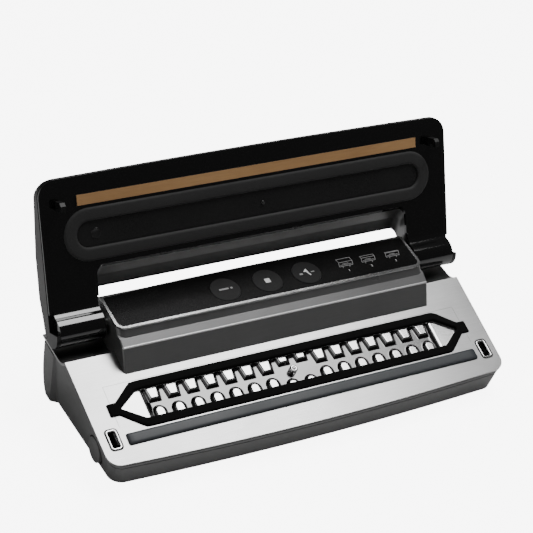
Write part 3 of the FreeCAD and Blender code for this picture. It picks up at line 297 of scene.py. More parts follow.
looks = {
    "deck": finish("brushedDeck", grey(0.26), grey(0.37), (0.25, 0.32), metal=1.0, pattern="brushing",
                   scale=34.0, bump=0.12),
    "housing": finish("housingGrey", grey(0.14), grey(0.17), (0.42, 0.5), metal=0.35, scale=1500.0,
                      bump=0.14),
    "control": finish("controlGrey", grey(0.145), grey(0.18), (0.27, 0.34), metal=0.6, coat=0.5,
                      pattern="brushing", scale=30.0, bump=0.1),
    "bezel": finish("bezelChrome", grey(0.62), grey(0.74), (0.14, 0.2), metal=1.0, pattern="brushing",
                    scale=40.0, bump=0.04),
    "panel": finish("panelGloss", grey(0.0035), grey(0.005), (0.2, 0.26), scale=1200.0, bump=0.01,
                    specular=0.09),
    "key": finish("keySatin", grey(0.006), grey(0.009), (0.34, 0.42), scale=1500.0, bump=0.04,
                  specular=0.11),
    "foam": finish("sealFoam", grey(0.002), grey(0.0045), (0.85, 0.95), scale=1400.0, bump=0.6,
                   depth=0.0002, specular=0.12),
    "ringFoam": finish("ringFoam", grey(0.016), grey(0.024), (0.7, 0.82), scale=1300.0, bump=0.45,
                       depth=0.0002),
    "chrome": finish("trayChrome", grey(0.68), grey(0.8), (0.1, 0.17), metal=1.0, pattern="brushing",
                     scale=26.0, bump=0.03),
    "silicone": finish("barSilicone", grey(0.034, (0.88, 1.0, 1.12)), grey(0.044, (0.88, 1.0, 1.12)),
                       (0.42, 0.5), scale=1100.0, bump=0.08, specular=0.35),
    "trim": finish("slotTrim", grey(0.55), grey(0.7), (0.16, 0.24), metal=1.0, pattern="brushing",
                   scale=40.0, bump=0.05),
    "gloss": finish("lidBlack", grey(0.002), grey(0.003), (0.06, 0.1), scale=1200.0, bump=0.006,
                    specular=0.85),
    "recess": finish("recessBlack", grey(0.014), grey(0.019), (0.14, 0.2), scale=1200.0, bump=0.01),
    "lidShell": finish("lidSilver", grey(0.17), grey(0.21), (0.3, 0.38), metal=0.85, pattern="brushing",
                       scale=32.0, bump=0.08),
    "hook": finish("hookSatin", grey(0.006), grey(0.01), (0.4, 0.5), scale=1200.0, bump=0.04,
                   specular=0.25),
    "tape": finish("tapeWeave", (0.35, 0.19, 0.08), (0.52, 0.3, 0.13), (0.45, 0.55), pattern="brushing",
                   scale=30.0, stretch=(1, 40, 40), bump=0.2),
    "darkPlastic": finish("innerDark", grey(0.012), grey(0.018), (0.5, 0.6), scale=1200.0, bump=0.1),
    "rubber": finish("footRubber", grey(0.015), grey(0.022), (0.7, 0.8), scale=1000.0, bump=0.2),
    "steel": finish("plainSteel", grey(0.5), grey(0.62), (0.25, 0.35), metal=1.0, pattern="brushing",
                    scale=40.0, bump=0.05),
    "release": finish("releaseGrey", grey(0.14), grey(0.17), (0.4, 0.48), metal=0.3, scale=1500.0,
                      bump=0.12),
    "board": finish("boardGreen", (0.01, 0.05, 0.022), (0.016, 0.075, 0.032), (0.35, 0.45), scale=700.0,
                    bump=0.1),
    "clear": finish("hoseMilk", grey(0.42), grey(0.52), (0.3, 0.4), scale=600.0, bump=0.05),
    "white": finish("bushWhite", grey(0.6), grey(0.7), (0.4, 0.5), scale=900.0, bump=0.08),
    "seam": finish("seamShade", grey(0.13), grey(0.17), (0.35, 0.45), metal=1.0, pattern="brushing",
                   scale=34.0, bump=0.05),
    "print": finish("printWhite", grey(0.62), grey(0.7), (0.4, 0.5), scale=2000.0, bump=0.02),
    "printDim": finish("printDim", grey(0.2), grey(0.25), (0.4, 0.5), scale=2000.0, bump=0.02),
}


def shadeByLevel(m, stops):
    # painted shade and light: the pressed sheet's colour is multiplied down by its height, dull on its
    # floor, dark on the drawn walls where shade falls and bright on the lands where light falls
    tree = m.node_tree
    shader = tree.nodes["Principled BSDF"]
    base = shader.inputs["Base Color"].links[0].from_socket
    read = tree.nodes.new("ShaderNodeAttribute")
    read.attribute_name = "level"
    ramp = tree.nodes.new("ShaderNodeValToRGB")
    while len(ramp.color_ramp.elements) < len(stops):
        ramp.color_ramp.elements.new(0.5)
    for element, (position, value) in zip(ramp.color_ramp.elements, stops):
        element.position = position
        element.color = (value, value, value, 1)
    tree.links.new(read.outputs["Fac"], ramp.inputs["Fac"])
    blend = tree.nodes.new("ShaderNodeMix")
    blend.data_type = "RGBA"
    blend.blend_type = "MULTIPLY"
    blend.inputs["Factor"].default_value = 1.0
    tree.links.new(base, blend.inputs["A"])
    tree.links.new(ramp.outputs["Color"], blend.inputs["B"])
    tree.links.new(blend.outputs["Result"], shader.inputs["Base Color"])


def shadeShell(m, zone):
    # painted shade: the lid's outside is darkened to a share of its colour where it stands in shade; only
    # the slanted wall of its cutout, where light falls, keeps the full colour.
    # the zone limits a point's x, its distance up the lid and its depth behind the lid's inner face
    tree = m.node_tree
    shader = tree.nodes["Principled BSDF"]
    base = shader.inputs["Base Color"].links[0].from_socket
    place = tree.nodes.new("ShaderNodeTexCoord").outputs["Object"]
    oy, oz, angle = tilts["lid"]
    c, q = math.cos(math.radians(angle)), math.sin(math.radians(angle))
    values = []
    for direction in ((0, c, q), (0, -q, c)):
        dot = tree.nodes.new("ShaderNodeVectorMath")
        dot.operation = "DOT_PRODUCT"
        tree.links.new(place, dot.inputs[0])
        dot.inputs[1].default_value = direction
        start = (direction[1] * oy + direction[2] * oz) * mm
        values.append(mathNode(tree, "SUBTRACT", dot.outputs["Value"], start))
    split = tree.nodes.new("ShaderNodeSeparateXYZ")
    tree.links.new(place, split.inputs[0])
    wide = mathNode(tree, "LESS_THAN", mathNode(tree, "ABSOLUTE", split.outputs["X"]), zone["half"] * mm)
    near = mathNode(tree, "LESS_THAN", values[0], zone["reach"] * mm)
    deep = mathNode(tree, "GREATER_THAN", values[1], zone["depth"] * mm)
    mask = mathNode(tree, "MULTIPLY", mathNode(tree, "MULTIPLY", wide, near), deep)
    factor = mathNode(tree, "ADD", mathNode(tree, "MULTIPLY", mask, 1 - zone["share"]), zone["share"])
    scaled = tree.nodes.new("ShaderNodeVectorMath")
    scaled.operation = "SCALE"
    tree.links.new(base, scaled.inputs[0])
    tree.links.new(factor, scaled.inputs["Scale"])
    tree.links.new(scaled.outputs[0], shader.inputs["Base Color"])


# painted shade on the lid's outside, sparing the lit wall of its cutout
shadeShell(looks["lidShell"], {"half": 143.5, "reach": 47.5, "depth": -16.7, "share": 0.17})


def polishEdge(m, where, edge):
    # painted highlight along a long edge: the distance from the edge line in the named frame makes a soft
    # bright band
    tree = m.node_tree
    shader = tree.nodes["Principled BSDF"]
    base = shader.inputs["Base Color"].links[0].from_socket
    at = inFrame(where, 0.0, edge["y"], edge["z"])
    place = tree.nodes.new("ShaderNodeTexCoord").outputs["Object"]
    flatten = tree.nodes.new("ShaderNodeVectorMath")
    flatten.operation = "MULTIPLY"
    tree.links.new(place, flatten.inputs[0])
    flatten.inputs[1].default_value = (0, 1, 1)
    distance = tree.nodes.new("ShaderNodeVectorMath")
    distance.operation = "DISTANCE"
    tree.links.new(flatten.outputs[0], distance.inputs[0])
    distance.inputs[1].default_value = tuple(at)
    band = tree.nodes.new("ShaderNodeMapRange")
    band.inputs["From Min"].default_value = edge["reach"] * mm
    band.inputs["From Max"].default_value = edge["reach"] * mm * 0.55
    tree.links.new(distance.outputs["Value"], band.inputs["Value"])
    mix = tree.nodes.new("ShaderNodeMix")
    mix.data_type = "RGBA"
    tree.links.new(band.outputs["Result"], mix.inputs["Factor"])
    tree.links.new(base, mix.inputs["A"])
    mix.inputs["B"].default_value = (*grey(edge["bright"]), 1)
    tree.links.new(mix.outputs["Result"], shader.inputs["Base Color"])


# painted highlight along the front edge of the control housing's ledge
polishEdge(looks["control"], "deck", {"y": 86.0, "z": 15.5, "reach": 0.95, "bright": 0.85})
looks["trayPan"] = finish("trayPan", grey(0.72), grey(0.84), (0.16, 0.24), metal=1.0, pattern="brushing",
                          scale=26.0, bump=0.03)
# painted shade on the tray: darker on its floor and drawn walls, lighter on the lands
shadeByLevel(looks["trayPan"], [(0.0, 0.14), (0.06, 0.12), (0.22, 0.045), (0.6, 0.06), (0.86, 0.6)])
print("finishes ready", len(looks))

# the finish of every CAD node, by how its name starts
nodeLooks = [
    ("deck_plate", "deck"), ("base_housing", "housing"), ("control_housing", "control"),
    ("panel_bezel", "bezel"), ("control_panel", "panel"), ("seal_button", "key"),
    ("stop_button", "key"), ("vacuum_button", "key"), ("control_board", "board"),
    ("chamber_gasket", "foam"), ("drip_tray", "chrome"), ("suction_nozzle", "chrome"),
    ("silicone_bar", "silicone"), ("bar_channel", "darkPlastic"), ("latch_surround", "trim"),
    ("release_button", "release"), ("latch_catch", "steel"), ("latch_spring", "steel"),
    ("spring_seat", "darkPlastic"), ("hinge_pin", "steel"), ("hinge_bracket", "darkPlastic"),
    ("hinge_bush", "white"), ("lid_frame", "gloss"), ("lid_cover", "lidShell"), ("lid_gasket", "ringFoam"),
    ("lid_recess", "recess"), ("heater_support", "darkPlastic"), ("heating_wire", "steel"),
    ("release_tape", "tape"), ("lid_hook", "hook"), ("vacuum_motor", "steel"), ("pump_head", "darkPlastic"),
    ("transformer", "steel"), ("suction_hose", "clear"), ("lid_switch", "darkPlastic"),
    ("cable_gland", "rubber"), ("rubber_feet", "rubber"), ("bottom_screws", "steel"),
    ("bottom_plate", "housing"),
]
for nodeName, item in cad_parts.items():
    for word, lookName in nodeLooks:
        if nodeName.startswith(word):
            item.data.materials.clear()
            item.data.materials.append(looks[lookName])
            break
    else:
        print("no finish for", nodeName)
print("nodes finished", len(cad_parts))

# chamber gasket

gasket = {"bend": 140.0, "tip": 163.5, "half": 20.0, "tab": 5.5, "reach": 164.5,
          "mouth": 154.8, "innerBend": 137.5, "innerHalf": 12.6, "shoulder": 3.0, "point": 0.9,
          "low": -1.2, "high": 1.7}


def gasketOutlines(g):
    # the outer outline has a tab at each tip; the inner one has as many corners, spread over its tip
    wide = g["tip"] - (g["tip"] - g["bend"]) * g["tab"] / g["half"]
    rightOut = [(g["bend"], -g["half"]), (wide, -g["tab"]), (g["reach"], -g["tab"]),
                (g["reach"], g["tab"]), (wide, g["tab"]), (g["bend"], g["half"])]
    slope = (g["mouth"] - g["innerBend"]) / g["innerHalf"]
    wideX, wideY = g["mouth"] - g["shoulder"] * slope, g["shoulder"]
    tipX, tipY = g["mouth"] - g["point"] * slope, g["point"]
    rightIn = [(g["innerBend"], -g["innerHalf"]), (wideX, -wideY), (tipX, -tipY),
               (tipX, tipY), (wideX, wideY), (g["innerBend"], g["innerHalf"])]
    loops = []
    for right, radii in ((rightOut, [12, 1.5, 1.2, 1.2, 1.5, 12]), (rightIn, [5, 0.4, 0.4, 0.4, 0.4, 5])):
        left = [(-x, -y) for x, y in right]
        loop = softOutline(right + left, radii * 2, 7)
        loop[:, 1] += chamberMiddle
        loops.append(loop)
    return loops


outerLoop, innerLoop = gasketOutlines(gasket)
seal = ringPiece("gasketFoam", outerLoop, innerLoop,
                 roundedProfile(gasket["low"], gasket["high"], (0.24, 1.3)), "deck", looks["foam"], "base")
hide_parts("chamber_gasket")
print("gasket ready")

# fine seam in the deck round the chamber

seam = {"half": 161.2, "front": 30.0, "rear": 65.6, "width": 0.3, "high": 0.03}
for name, (x0, x1, y0, y1) in {
        "seamRear": (-seam["half"], seam["half"], seam["rear"], seam["rear"] + seam["width"]),
        "seamLeft": (-seam["half"], -seam["half"] + seam["width"], seam["front"], seam["rear"]),
        "seamRight": (seam["half"] - seam["width"], seam["half"], seam["front"], seam["rear"])}.items():
    corner = np.array([(x0, y0), (x1, y0), (x1, y1), (x0, y1)])
    seamPoints = np.concatenate([inFrame("deck", corner[:, 0], corner[:, 1], h)
                                 for h in (0.0, seam["high"])])
    seamFaces = [(3, 2, 1, 0), (4, 5, 6, 7)] + [(i, (i + 1) % 4, (i + 1) % 4 + 4, i + 4) for i in range(4)]
    meshFrom(name, seamPoints, outward(seamFaces, seamPoints), looks["seam"], "base", smooth=False)
print("seams ready")

# embossed tray

tray = {"cols": 620, "rows": 92, "innerBend": 137.0, "mouth": 155.6, "half": 13.3, "pitch": 16.5,
        "fingers": 16, "floor": -4.1, "rim": -1.35, "rise": 2.5, "soft": 1.7, "flatFrom": 131.0,
        "frontRadius": 4.6, "frontTip": 9.6, "rearTip": 11.0, "rearHalf": 4.0, "flare": 1.4,
        "flareLength": 9.0}


def steep(value, soft):
    # 0 to 1 over the given softness either side of zero
    t = np.clip(value / soft * 0.5 + 0.5, 0, 1)
    return t * t * (3 - 2 * t)


def trayHeight(t, x, y):
    # y is from the middle line; raised fingers stand between the floor channel's bends
    place = x / t["pitch"]
    nearest = np.clip(np.round(place - 0.5) + 0.5, -(t["fingers"] - 1) / 2, (t["fingers"] - 1) / 2)
    across = np.abs(x - nearest * t["pitch"])
    short = np.where(np.abs(nearest) < 1, t["frontRadius"], 0.0)
    # rear fingers narrow towards their tip, front fingers end in a half round
    tipRear = t["half"] - t["rearTip"] + short
    widthRear = t["rearHalf"] + t["flare"] * np.clip((y - tipRear) / t["flareLength"], 0, 1)
    rear = np.minimum(widthRear - across, (y - tipRear) * 0.9)
    tipFront = -t["half"] + t["frontTip"] - short
    roundY = tipFront - t["frontRadius"]
    front = t["frontRadius"] - np.where(y > roundY, np.hypot(across, y - roundY), across)
    inside = steep(t["flatFrom"] - np.abs(x), t["soft"] * 2)
    lift = np.maximum(steep(rear, t["soft"]), steep(front, t["soft"])) * inside
    ends = 1 - inside
    return t["floor"] + t["rise"] * np.maximum(lift, ends * 0.94)


def trayMesh(t):
    # x runs along the tray and v across it; the half depth shrinks over the pointed ends,
    # and the outermost lines climb the wall to the rim under the gasket
    x = np.linspace(-t["mouth"], t["mouth"], t["cols"])
    v = np.linspace(-1, 1, t["rows"])
    taper = np.clip((t["mouth"] - np.abs(x)) / (t["mouth"] - t["innerBend"]), 0.02, 1)
    half = t["half"] * taper
    gridX, gridV = np.meshgrid(x, v, indexing="ij")
    gridY = gridV * half[:, None]
    top = trayHeight(t, gridX, gridY)
    edge = np.minimum(half[:, None] * (1 - np.abs(gridV)), t["mouth"] - np.abs(gridX))
    wall = 1 - steep(edge - 0.7, 0.5)
    top = top * (1 - wall) + t["rim"] * wall
    gridY = gridY + chamberMiddle
    upper = inFrame("deck", gridX, gridY, top).reshape(-1, 3)
    lower = inFrame("deck", gridX, gridY, np.minimum(top - 0.3, t["rim"] - 0.3)).reshape(-1, 3)
    n, m = gridX.shape
    faces = gridFaces(n, m, False, False)
    ring = np.concatenate([np.arange(m), np.arange(1, n) * m + m - 1,
                           (n - 1) * m + np.arange(m - 1)[::-1], np.arange(1, n - 1)[::-1] * m])
    under = faces[:, ::-1] + n * m
    ahead = np.roll(ring, -1)
    side = np.stack([ring, ring + n * m, ahead + n * m, ahead], axis=-1)
    levels = (top - t["floor"]) / t["rise"]
    return np.concatenate([upper, lower]), np.concatenate([faces, under, side]), levels


trayPoints, trayFaces, trayLevels = trayMesh(tray)
# the top has to look up: the first cell's normal tells which way the grid winds
p0, p1, p2 = (trayPoints[i] for i in trayFaces[0][:3])
if np.cross(p1 - p0, p2 - p0)[2] < 0:
    trayFaces = trayFaces[:, ::-1]
pan = meshFrom("embossedTray", trayPoints, [tuple(f) for f in trayFaces.tolist()], looks["trayPan"], "base")
levels = pan.data.attributes.new("level", "FLOAT", "POINT")
levels.data.foreach_set("value", np.tile(trayLevels.ravel(), 2).astype(np.float32))
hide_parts("drip_tray")
print("tray", len(trayFaces), "faces")

# suction nozzle

nozzle = {"place": (-4.0, chamberMiddle - 1.0), "radius": 3.4, "top": 1.3, "foot": -4.2,
          "ribs": 3, "ribStart": 0.7, "ribPitch": 1.35, "bore": 1.3, "boreDepth": 3.5}


def nozzleProfile(n):
    # a stem with shallow ribs, a rounded top and a small bore that ends inside
    profile = [(0.01, n["foot"]), (n["radius"], n["foot"])]
    for k in range(n["ribs"]):
        z = n["foot"] + n["ribStart"] + k * n["ribPitch"]
        profile += [(n["radius"] - 0.1, z), (n["radius"] - 0.7, z + 0.35), (n["radius"] - 0.7, z + 0.75),
                    (n["radius"] - 0.1, z + 1.1)]
    return profile + [(n["radius"] - 0.2, n["top"] - 0.8), (n["radius"] - 1.0, n["top"]), (1.5, n["top"]),
                      (n["bore"], n["top"] - 0.3), (n["bore"], n["top"] - n["boreDepth"]),
                      (0.01, n["top"] - n["boreDepth"])]


spout = turned("ribbedNozzle", nozzle["place"], nozzleProfile(nozzle), "deck", looks["chrome"], "base")
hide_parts("suction_nozzle")
print("nozzle ready")

# sealing bar

bar = {"middle": 18.3, "half": 158.8, "width": 10.0, "high": 2.0, "low": -4.5, "bevel": 1.6}


def barMesh(b):
    # a cross section with a crowned top goes along x and shrinks to its middle at each end
    ends = np.array([0, 0.15, 0.5, 1.0])
    x = np.concatenate([-b["half"] + ends * b["bevel"], np.linspace(-b["half"] + 6, b["half"] - 6, 40),
                        b["half"] - ends[::-1] * b["bevel"]])
    near = np.clip((b["half"] - np.abs(x)) / b["bevel"], 0, 1)
    shrink = 1 - 0.12 * (1 - near) ** 2
    a = np.linspace(0, math.pi, 17)
    w, h = b["width"] / 2, b["high"]
    sy = np.concatenate([-w * np.sign(np.cos(a)) * np.abs(np.cos(a)) ** 0.55, [w, -w]])
    sz = np.concatenate([h * np.abs(np.sin(a)) ** 0.6, [b["low"], b["low"]]])
    gridY = b["middle"] + sy[None] * shrink[:, None]
    gridZ = np.where(sz > 0, sz * (0.7 + 0.3 * near[:, None]), sz)
    gridX = np.broadcast_to(x[:, None], gridY.shape)
    points = inFrame("deck", gridX, gridY, gridZ).reshape(-1, 3)
    cols = len(sy)
    faces = [tuple(f) for f in gridFaces(len(x), cols, False, True).tolist()]
    faces += [tuple(range(cols))[::-1], tuple((len(x) - 1) * cols + i for i in range(cols))]
    return points, outward(faces, points)


barPoints, barFaces = barMesh(bar)
strip = meshFrom("siliconeStrip", barPoints, barFaces, looks["silicone"], "base")
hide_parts("silicone_bar")
print("sealing bar ready")

# foam ring in the lid

lidRing = {"bend": 145.7, "middle": 71.1, "outer": 21.0, "inner": 10.3, "low": -1.6, "high": 1.6,
           "steps": 40}


def stadiumLoop(r, radius):
    # half circles about the two centres, joined by straight runs
    a = np.linspace(-math.pi / 2, math.pi / 2, r["steps"])
    right = np.stack([r["bend"] + radius * np.cos(a), r["middle"] + radius * np.sin(a)], axis=-1)
    left = np.stack([-r["bend"] - radius * np.cos(a), r["middle"] - radius * np.sin(a)], axis=-1)
    return np.concatenate([right, left])


lidOuter, lidInner = (stadiumLoop(lidRing, lidRing[edge]) for edge in ("outer", "inner"))
lidFoam = ringPiece("lidFoamRing", lidOuter, lidInner,
                    roundedProfile(lidRing["low"], lidRing["high"], (0.22, 1.5)), "lid",
                    looks["ringFoam"], "lid")
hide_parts("lid_gasket")

# small fixings in the lid's recess: a round cap with a raised rim, and a boss near the middle
recess = {"capPlace": (-140.0, 71.1), "capRadius": 4.2, "bossPlace": (6.0, 71.1), "bossRadius": 1.7,
          "foot": -1.4, "capFace": -0.35}
capProfile = [(0.01, recess["foot"]), (recess["capRadius"], recess["foot"]),
              (recess["capRadius"], recess["capFace"]), (recess["capRadius"] - 0.4, -0.1),
              (recess["capRadius"] - 1.0, recess["capFace"]), (0.01, recess["capFace"])]
turned("recessCap", recess["capPlace"], capProfile, "lid", looks["recess"], "lid")
bossProfile = [(0.01, recess["foot"]), (recess["bossRadius"], recess["foot"]), (recess["bossRadius"], 0.2),
               (recess["bossRadius"] - 0.5, 0.6), (0.01, 0.7)]
turned("recessBoss", recess["bossPlace"], bossProfile, "lid", looks["recess"], "lid", steps=28)
print("lid ring and recess ready")

# latch slot surrounds

slotTrim = {"place": 169.2, "middle": 21.1, "width": 5.8, "length": 13.8, "rim": 1.7, "shadowRim": 2.6,
            "outerRadius": 2.7, "innerRadius": 1.2, "shadowHigh": 0.12,
            "profile": [(0, 0.13), (0.05, 0.42), (0.25, 0.6), (0.7, 0.6), (1, 0.25), (1, -2.0), (0.2, -2.0),
                        (0.2, 0.13)]}


def rectLoop(cx, cy, width, length, radius):
    w, h = width / 2, length / 2
    loop = softOutline([(w, -h), (w, h), (-w, h), (-w, -h)], [radius] * 4, 8)
    return loop + np.array([cx, cy])


for side, name in ((-1, "left"), (1, "right")):
    cx = side * slotTrim["place"]
    trimOuter = rectLoop(cx, slotTrim["middle"], slotTrim["width"] + 2 * slotTrim["rim"],
                         slotTrim["length"] + 2 * slotTrim["rim"], slotTrim["outerRadius"])
    trimInner = rectLoop(cx, slotTrim["middle"], slotTrim["width"], slotTrim["length"],
                         slotTrim["innerRadius"])
    rim = ringPiece("slotRim_" + name, trimOuter, trimInner, slotTrim["profile"], "deck",
                    looks["trim"], "base")
    # painted shadow: a thin dark ring, a little wider than each surround, lies on the deck where shade
    # falls under the flange round the slot
    shadowOuter = rectLoop(cx, slotTrim["middle"], slotTrim["width"] + 2 * slotTrim["shadowRim"],
                         slotTrim["length"] + 2 * slotTrim["shadowRim"], slotTrim["outerRadius"] + 0.6)
    ringPiece("paintedSlotShadow_" + name, shadowOuter, trimInner,
              [(0, 0.01), (0, slotTrim["shadowHigh"]), (0.46, slotTrim["shadowHigh"]), (0.46, 0.01)], "deck",
              looks["darkPlastic"], "base")
    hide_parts("latch_surround_" + name)
print("slot surrounds ready")

# latch springs

coil = {"turns": 6, "wire": 0.42, "steps": 240, "around": 8, "free": 12.0}


def coilMesh(lowX, highX, centreY, centreZ, radius, c):
    # a helix along x with a small circle of wire carried along it: centre line
    # (x, r cos a, r sin a), wire offset by its radius outwards from the axis and along x
    t = np.linspace(0, 1, c["steps"])
    a = t * c["turns"] * 2 * math.pi
    x = lowX + c["wire"] + t * (highX - lowX - 2 * c["wire"])
    b = np.linspace(0, 2 * math.pi, c["around"], endpoint=False)
    r = radius - c["wire"] + c["wire"] * np.cos(b)[None]
    wireX = x[:, None] + c["wire"] * np.sin(b)[None]
    points = np.stack([wireX, centreY + r * np.cos(a)[:, None],
                       centreZ + r * np.sin(a)[:, None]], axis=-1) * mm
    points = points.reshape(-1, 3)
    faces = [tuple(f) for f in gridFaces(c["steps"], c["around"], False, True).tolist()]
    last = (c["steps"] - 1) * c["around"]
    faces += [tuple(range(c["around"]))[::-1], tuple(last + i for i in range(c["around"]))]
    return points, outward(faces, points)


for name in ("left", "right"):
    low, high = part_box("latch_spring_" + name)
    middleY, middleZ = (low.y + high.y) / 2, (low.z + high.z) / 2
    # the coil reaches its catch at rest, and the catch shortens it towards the seat
    lowX, highX = ((low.x / mm, low.x / mm + coil["free"]) if name == "right"
                   else (high.x / mm - coil["free"], high.x / mm))
    coilRadius = (high.z - low.z) / 2 / mm
    points, faces = coilMesh(lowX, highX, middleY / mm, middleZ / mm, coilRadius, coil)
    spring = meshFrom("coil_" + name, points, faces, looks["steel"], "base")
    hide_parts("latch_spring_" + name)
    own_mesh(spring)
print("springs ready")

# printed marks: thin raised ink on the panel and keys

ink = {"lift": 0.01, "thick": 0.07, "keyTop": 1.8, "panelTop": 1.5, "stroke": 0.42}


def mark(name, outline, top, body, look="print"):
    # a flat outline becomes a thin slab: top face, bottom face and a wall between them
    outline = np.array(outline, float)
    n = len(outline)
    low, high = top + ink["lift"], top + ink["lift"] + ink["thick"]
    points = np.concatenate([inFrame("panel", outline[:, 0], outline[:, 1], high),
                             inFrame("panel", outline[:, 0], outline[:, 1], low)])
    faces = [tuple(range(n)), tuple(range(n, 2 * n))[::-1]]
    faces += [(i, i + n, (i + 1) % n + n, (i + 1) % n) for i in range(n)]
    return meshFrom(name, points, outward(faces, points), looks[look], body, smooth=False)


def rectangle(cx, cy, width, depth):
    return [(cx - width / 2, cy - depth / 2), (cx + width / 2, cy - depth / 2),
            (cx + width / 2, cy + depth / 2), (cx - width / 2, cy + depth / 2)]


def stroke(a, b, width):
    # a thin rectangle along the line from a to b
    a, b = np.array(a, float), np.array(b, float)
    d = (b - a) / np.linalg.norm(b - a)
    n = np.array([-d[1], d[0]]) * width / 2
    return [tuple(a - n), tuple(b - n), tuple(b + n), tuple(a + n)]


keyPlaces = {"seal": (-38.5, 18.6), "stop": (0.0, 18.6), "vacuum": (36.5, 18.6)}
kx, ky = keyPlaces["seal"]
mark("sealBarMark", rectangle(kx - 1.2, ky + 0.4, 8.4, 1.7), ink["keyTop"], "seal_key", "printDim")
mark("sealDotMark", rectangle(kx + 5.6, ky + 0.4, 1.8, 1.8), ink["keyTop"], "seal_key", "printDim")
kx, ky = keyPlaces["stop"]
mark("stopMark", rectangle(kx, ky, 4.6, 4.6), ink["keyTop"], "stop_key")
kx, ky = keyPlaces["vacuum"]
mark("vacuumStem", stroke((kx + 2.4, ky - 3.6), (kx + 0.3, ky + 1.2), 1.1), ink["keyTop"], "vacuum_key")
mark("vacuumHead", [(kx - 2.3, ky + 1.3), (kx + 1.9, ky + 0.2), (kx + 0.9, ky + 4.2)], ink["keyTop"],
     "vacuum_key")
mark("vacuumBag", rectangle(kx - 5.4, ky - 0.8, 2.8, 1.8), ink["keyTop"], "vacuum_key", "printDim")
mark("vacuumSeam", rectangle(kx + 5.6, ky - 0.2, 3.2, 1.0), ink["keyTop"], "vacuum_key", "printDim")

# three line pictograms of a machine with its lid at three heights, and their numbers
pictogram = {"places": (74.0, 96.0, 120.0), "y": 19.5, "width": 13.0, "depth": 4.6, "digitY": 10.6,
             "digitSize": 3.1}
for number, px in enumerate(pictogram["places"], start=1):
    w, d, py = pictogram["width"], pictogram["depth"], pictogram["y"]
    rise = (4.0, 2.2, 0.8)[number - 1]
    left, right, near, far = px - w / 2, px + w / 2, py - d / 2, py + d / 2
    lines = {
        "front": ((left, near), (right, near)), "sideL": ((left, near), (left + 1.6, far)),
        "sideR": ((right, near), (right + 1.6, far)), "back": ((left + 1.6, far), (right + 1.6, far)),
        "lidL": ((left + 1.6, far), (left + 1.0, far + rise)),
        "lidR": ((right + 1.6, far), (right + 1.0, far + rise)),
        "lidTop": ((left + 1.0, far + rise), (right + 1.0, far + rise)),
        "bar": ((left + 1.6, near + 1.4), (right - 0.6, near + 1.4)),
        "box": ((left + 4.0, near + 2.6), (right - 3.0, near + 2.6)),
        "bagL": ((left + 3.4, near), (left + 2.6, near - 1.8)),
        "bagR": ((right - 3.0, near), (right - 3.8, near - 1.8)),
    }
    for part, (a, b) in lines.items():
        mark("pictogram%d_%s" % (number, part), stroke(a, b, ink["stroke"]), ink["panelTop"],
             "base", "printDim")
    data = bpy.data.curves.new("digitCurve%d" % number, "FONT")
    data.body = str(number)
    data.size = pictogram["digitSize"] * mm
    data.align_x = "CENTER"
    data.extrude = ink["thick"] / 2 * mm
    textItem = bpy.data.objects.new("digitText%d" % number, data)
    bpy.context.scene.collection.objects.link(textItem)
    bpy.context.view_layer.update()
    flat = bpy.data.meshes.new_from_object(textItem.evaluated_get(bpy.context.evaluated_depsgraph_get()))
    bpy.data.objects.remove(textItem)
    flatPoints = np.zeros(len(flat.vertices) * 3)
    flat.vertices.foreach_get("co", flatPoints)
    flatPoints = flatPoints.reshape(-1, 3) / mm
    placed = inFrame("panel", flatPoints[:, 0] + px, flatPoints[:, 1] + pictogram["digitY"],
                     flatPoints[:, 2] + ink["panelTop"] + ink["lift"] + ink["thick"] / 2)
    flat.vertices.foreach_set("co", placed.astype(np.float32).ravel())
    flat.update()
    flat.materials.clear()
    flat.materials.append(looks["print"])
    digit = bpy.data.objects.new("digit%d" % number, flat)
    bpy.context.scene.collection.objects.link(digit)
    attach(digit, "base")
print("marks ready")

# room, light and camera

camera = {"place": (-0.6181, -0.8851, 0.8539), "turn": (55.05, -7.79, -28.65), "lens": 112.7,
          "sensor": 36.0}


def addCamera(c):
    data = bpy.data.cameras.new("camera")
    data.lens = c["lens"]
    data.sensor_width = c["sensor"]
    data.clip_start = 0.01
    item = bpy.data.objects.new("camera", data)
    item.location = c["place"]
    item.rotation_euler = [math.radians(a) for a in c["turn"]]
    bpy.context.scene.collection.objects.link(item)
    bpy.context.scene.camera = item


addCamera(camera)

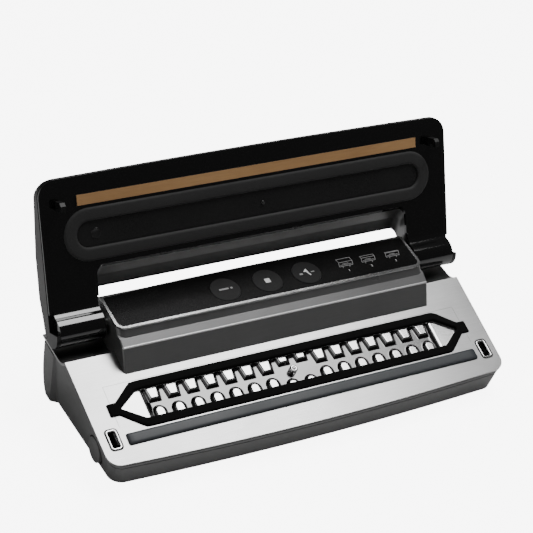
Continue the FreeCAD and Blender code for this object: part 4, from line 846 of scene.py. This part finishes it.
# places, targets, sizes in metres and powers in watts of the soft lights
lights = {
    "softboxTop": {"place": (0.44, 0.22, 1.45), "aim": (0, 0, 0.05), "size": (0.9, 0.7), "power": 22},
    "softboxLeft": {"place": (-1.4, -0.2, 0.8), "aim": (0, 0, 0.05), "size": (0.7, 0.9), "power": 3.0},
}


def addLight(name, c):
    data = bpy.data.lights.new(name, "AREA")
    data.shape = "RECTANGLE"
    data.size, data.size_y = c["size"]
    data.energy = c["power"]
    item = bpy.data.objects.new(name, data)
    item.location = c["place"]
    item.rotation_euler = (Vector(c["place"]) - Vector(c["aim"])).to_track_quat("Z", "Y").to_euler()
    bpy.context.scene.collection.objects.link(item)


for name, c in lights.items():
    addLight(name, c)

studio = {"seen": 7.0, "around": 0.07, "floorGlow": 7.0}
world = bpy.data.worlds.new("studio")
bpy.context.scene.world = world
world.use_nodes = True
wt = world.node_tree
back = wt.nodes["Background"]
back.inputs["Color"].default_value = (1, 1, 1, 1)
path = wt.nodes.new("ShaderNodeLightPath")
strength = mathNode(wt, "ADD", mathNode(wt, "MULTIPLY", path.outputs["Is Camera Ray"],
                                        studio["seen"] - studio["around"]), studio["around"])
wt.links.new(strength, back.inputs["Strength"])

floorMesh = bpy.data.meshes.new("floor")
floorMesh.from_pydata([(-6, -6, 0), (6, -6, 0), (6, 6, 0), (-6, 6, 0)], [], [(0, 1, 2, 3)])
floor = bpy.data.objects.new("floor", floorMesh)
bpy.context.scene.collection.objects.link(floor)
floorMesh.materials.append(finish("floorPaint", grey(0.84), grey(0.88), (0.6, 0.7), scale=200.0, bump=0.02))
floorTree = floorMesh.materials[0].node_tree
floorShader = floorTree.nodes["Principled BSDF"]
floorShader.inputs["Emission Color"].default_value = (1, 1, 1, 1)
floorPath = floorTree.nodes.new("ShaderNodeLightPath")
floorGlow = mathNode(floorTree, "MULTIPLY", floorPath.outputs["Is Camera Ray"], studio["floorGlow"])
floorTree.links.new(floorGlow, floorShader.inputs["Emission Strength"])
print("room ready")
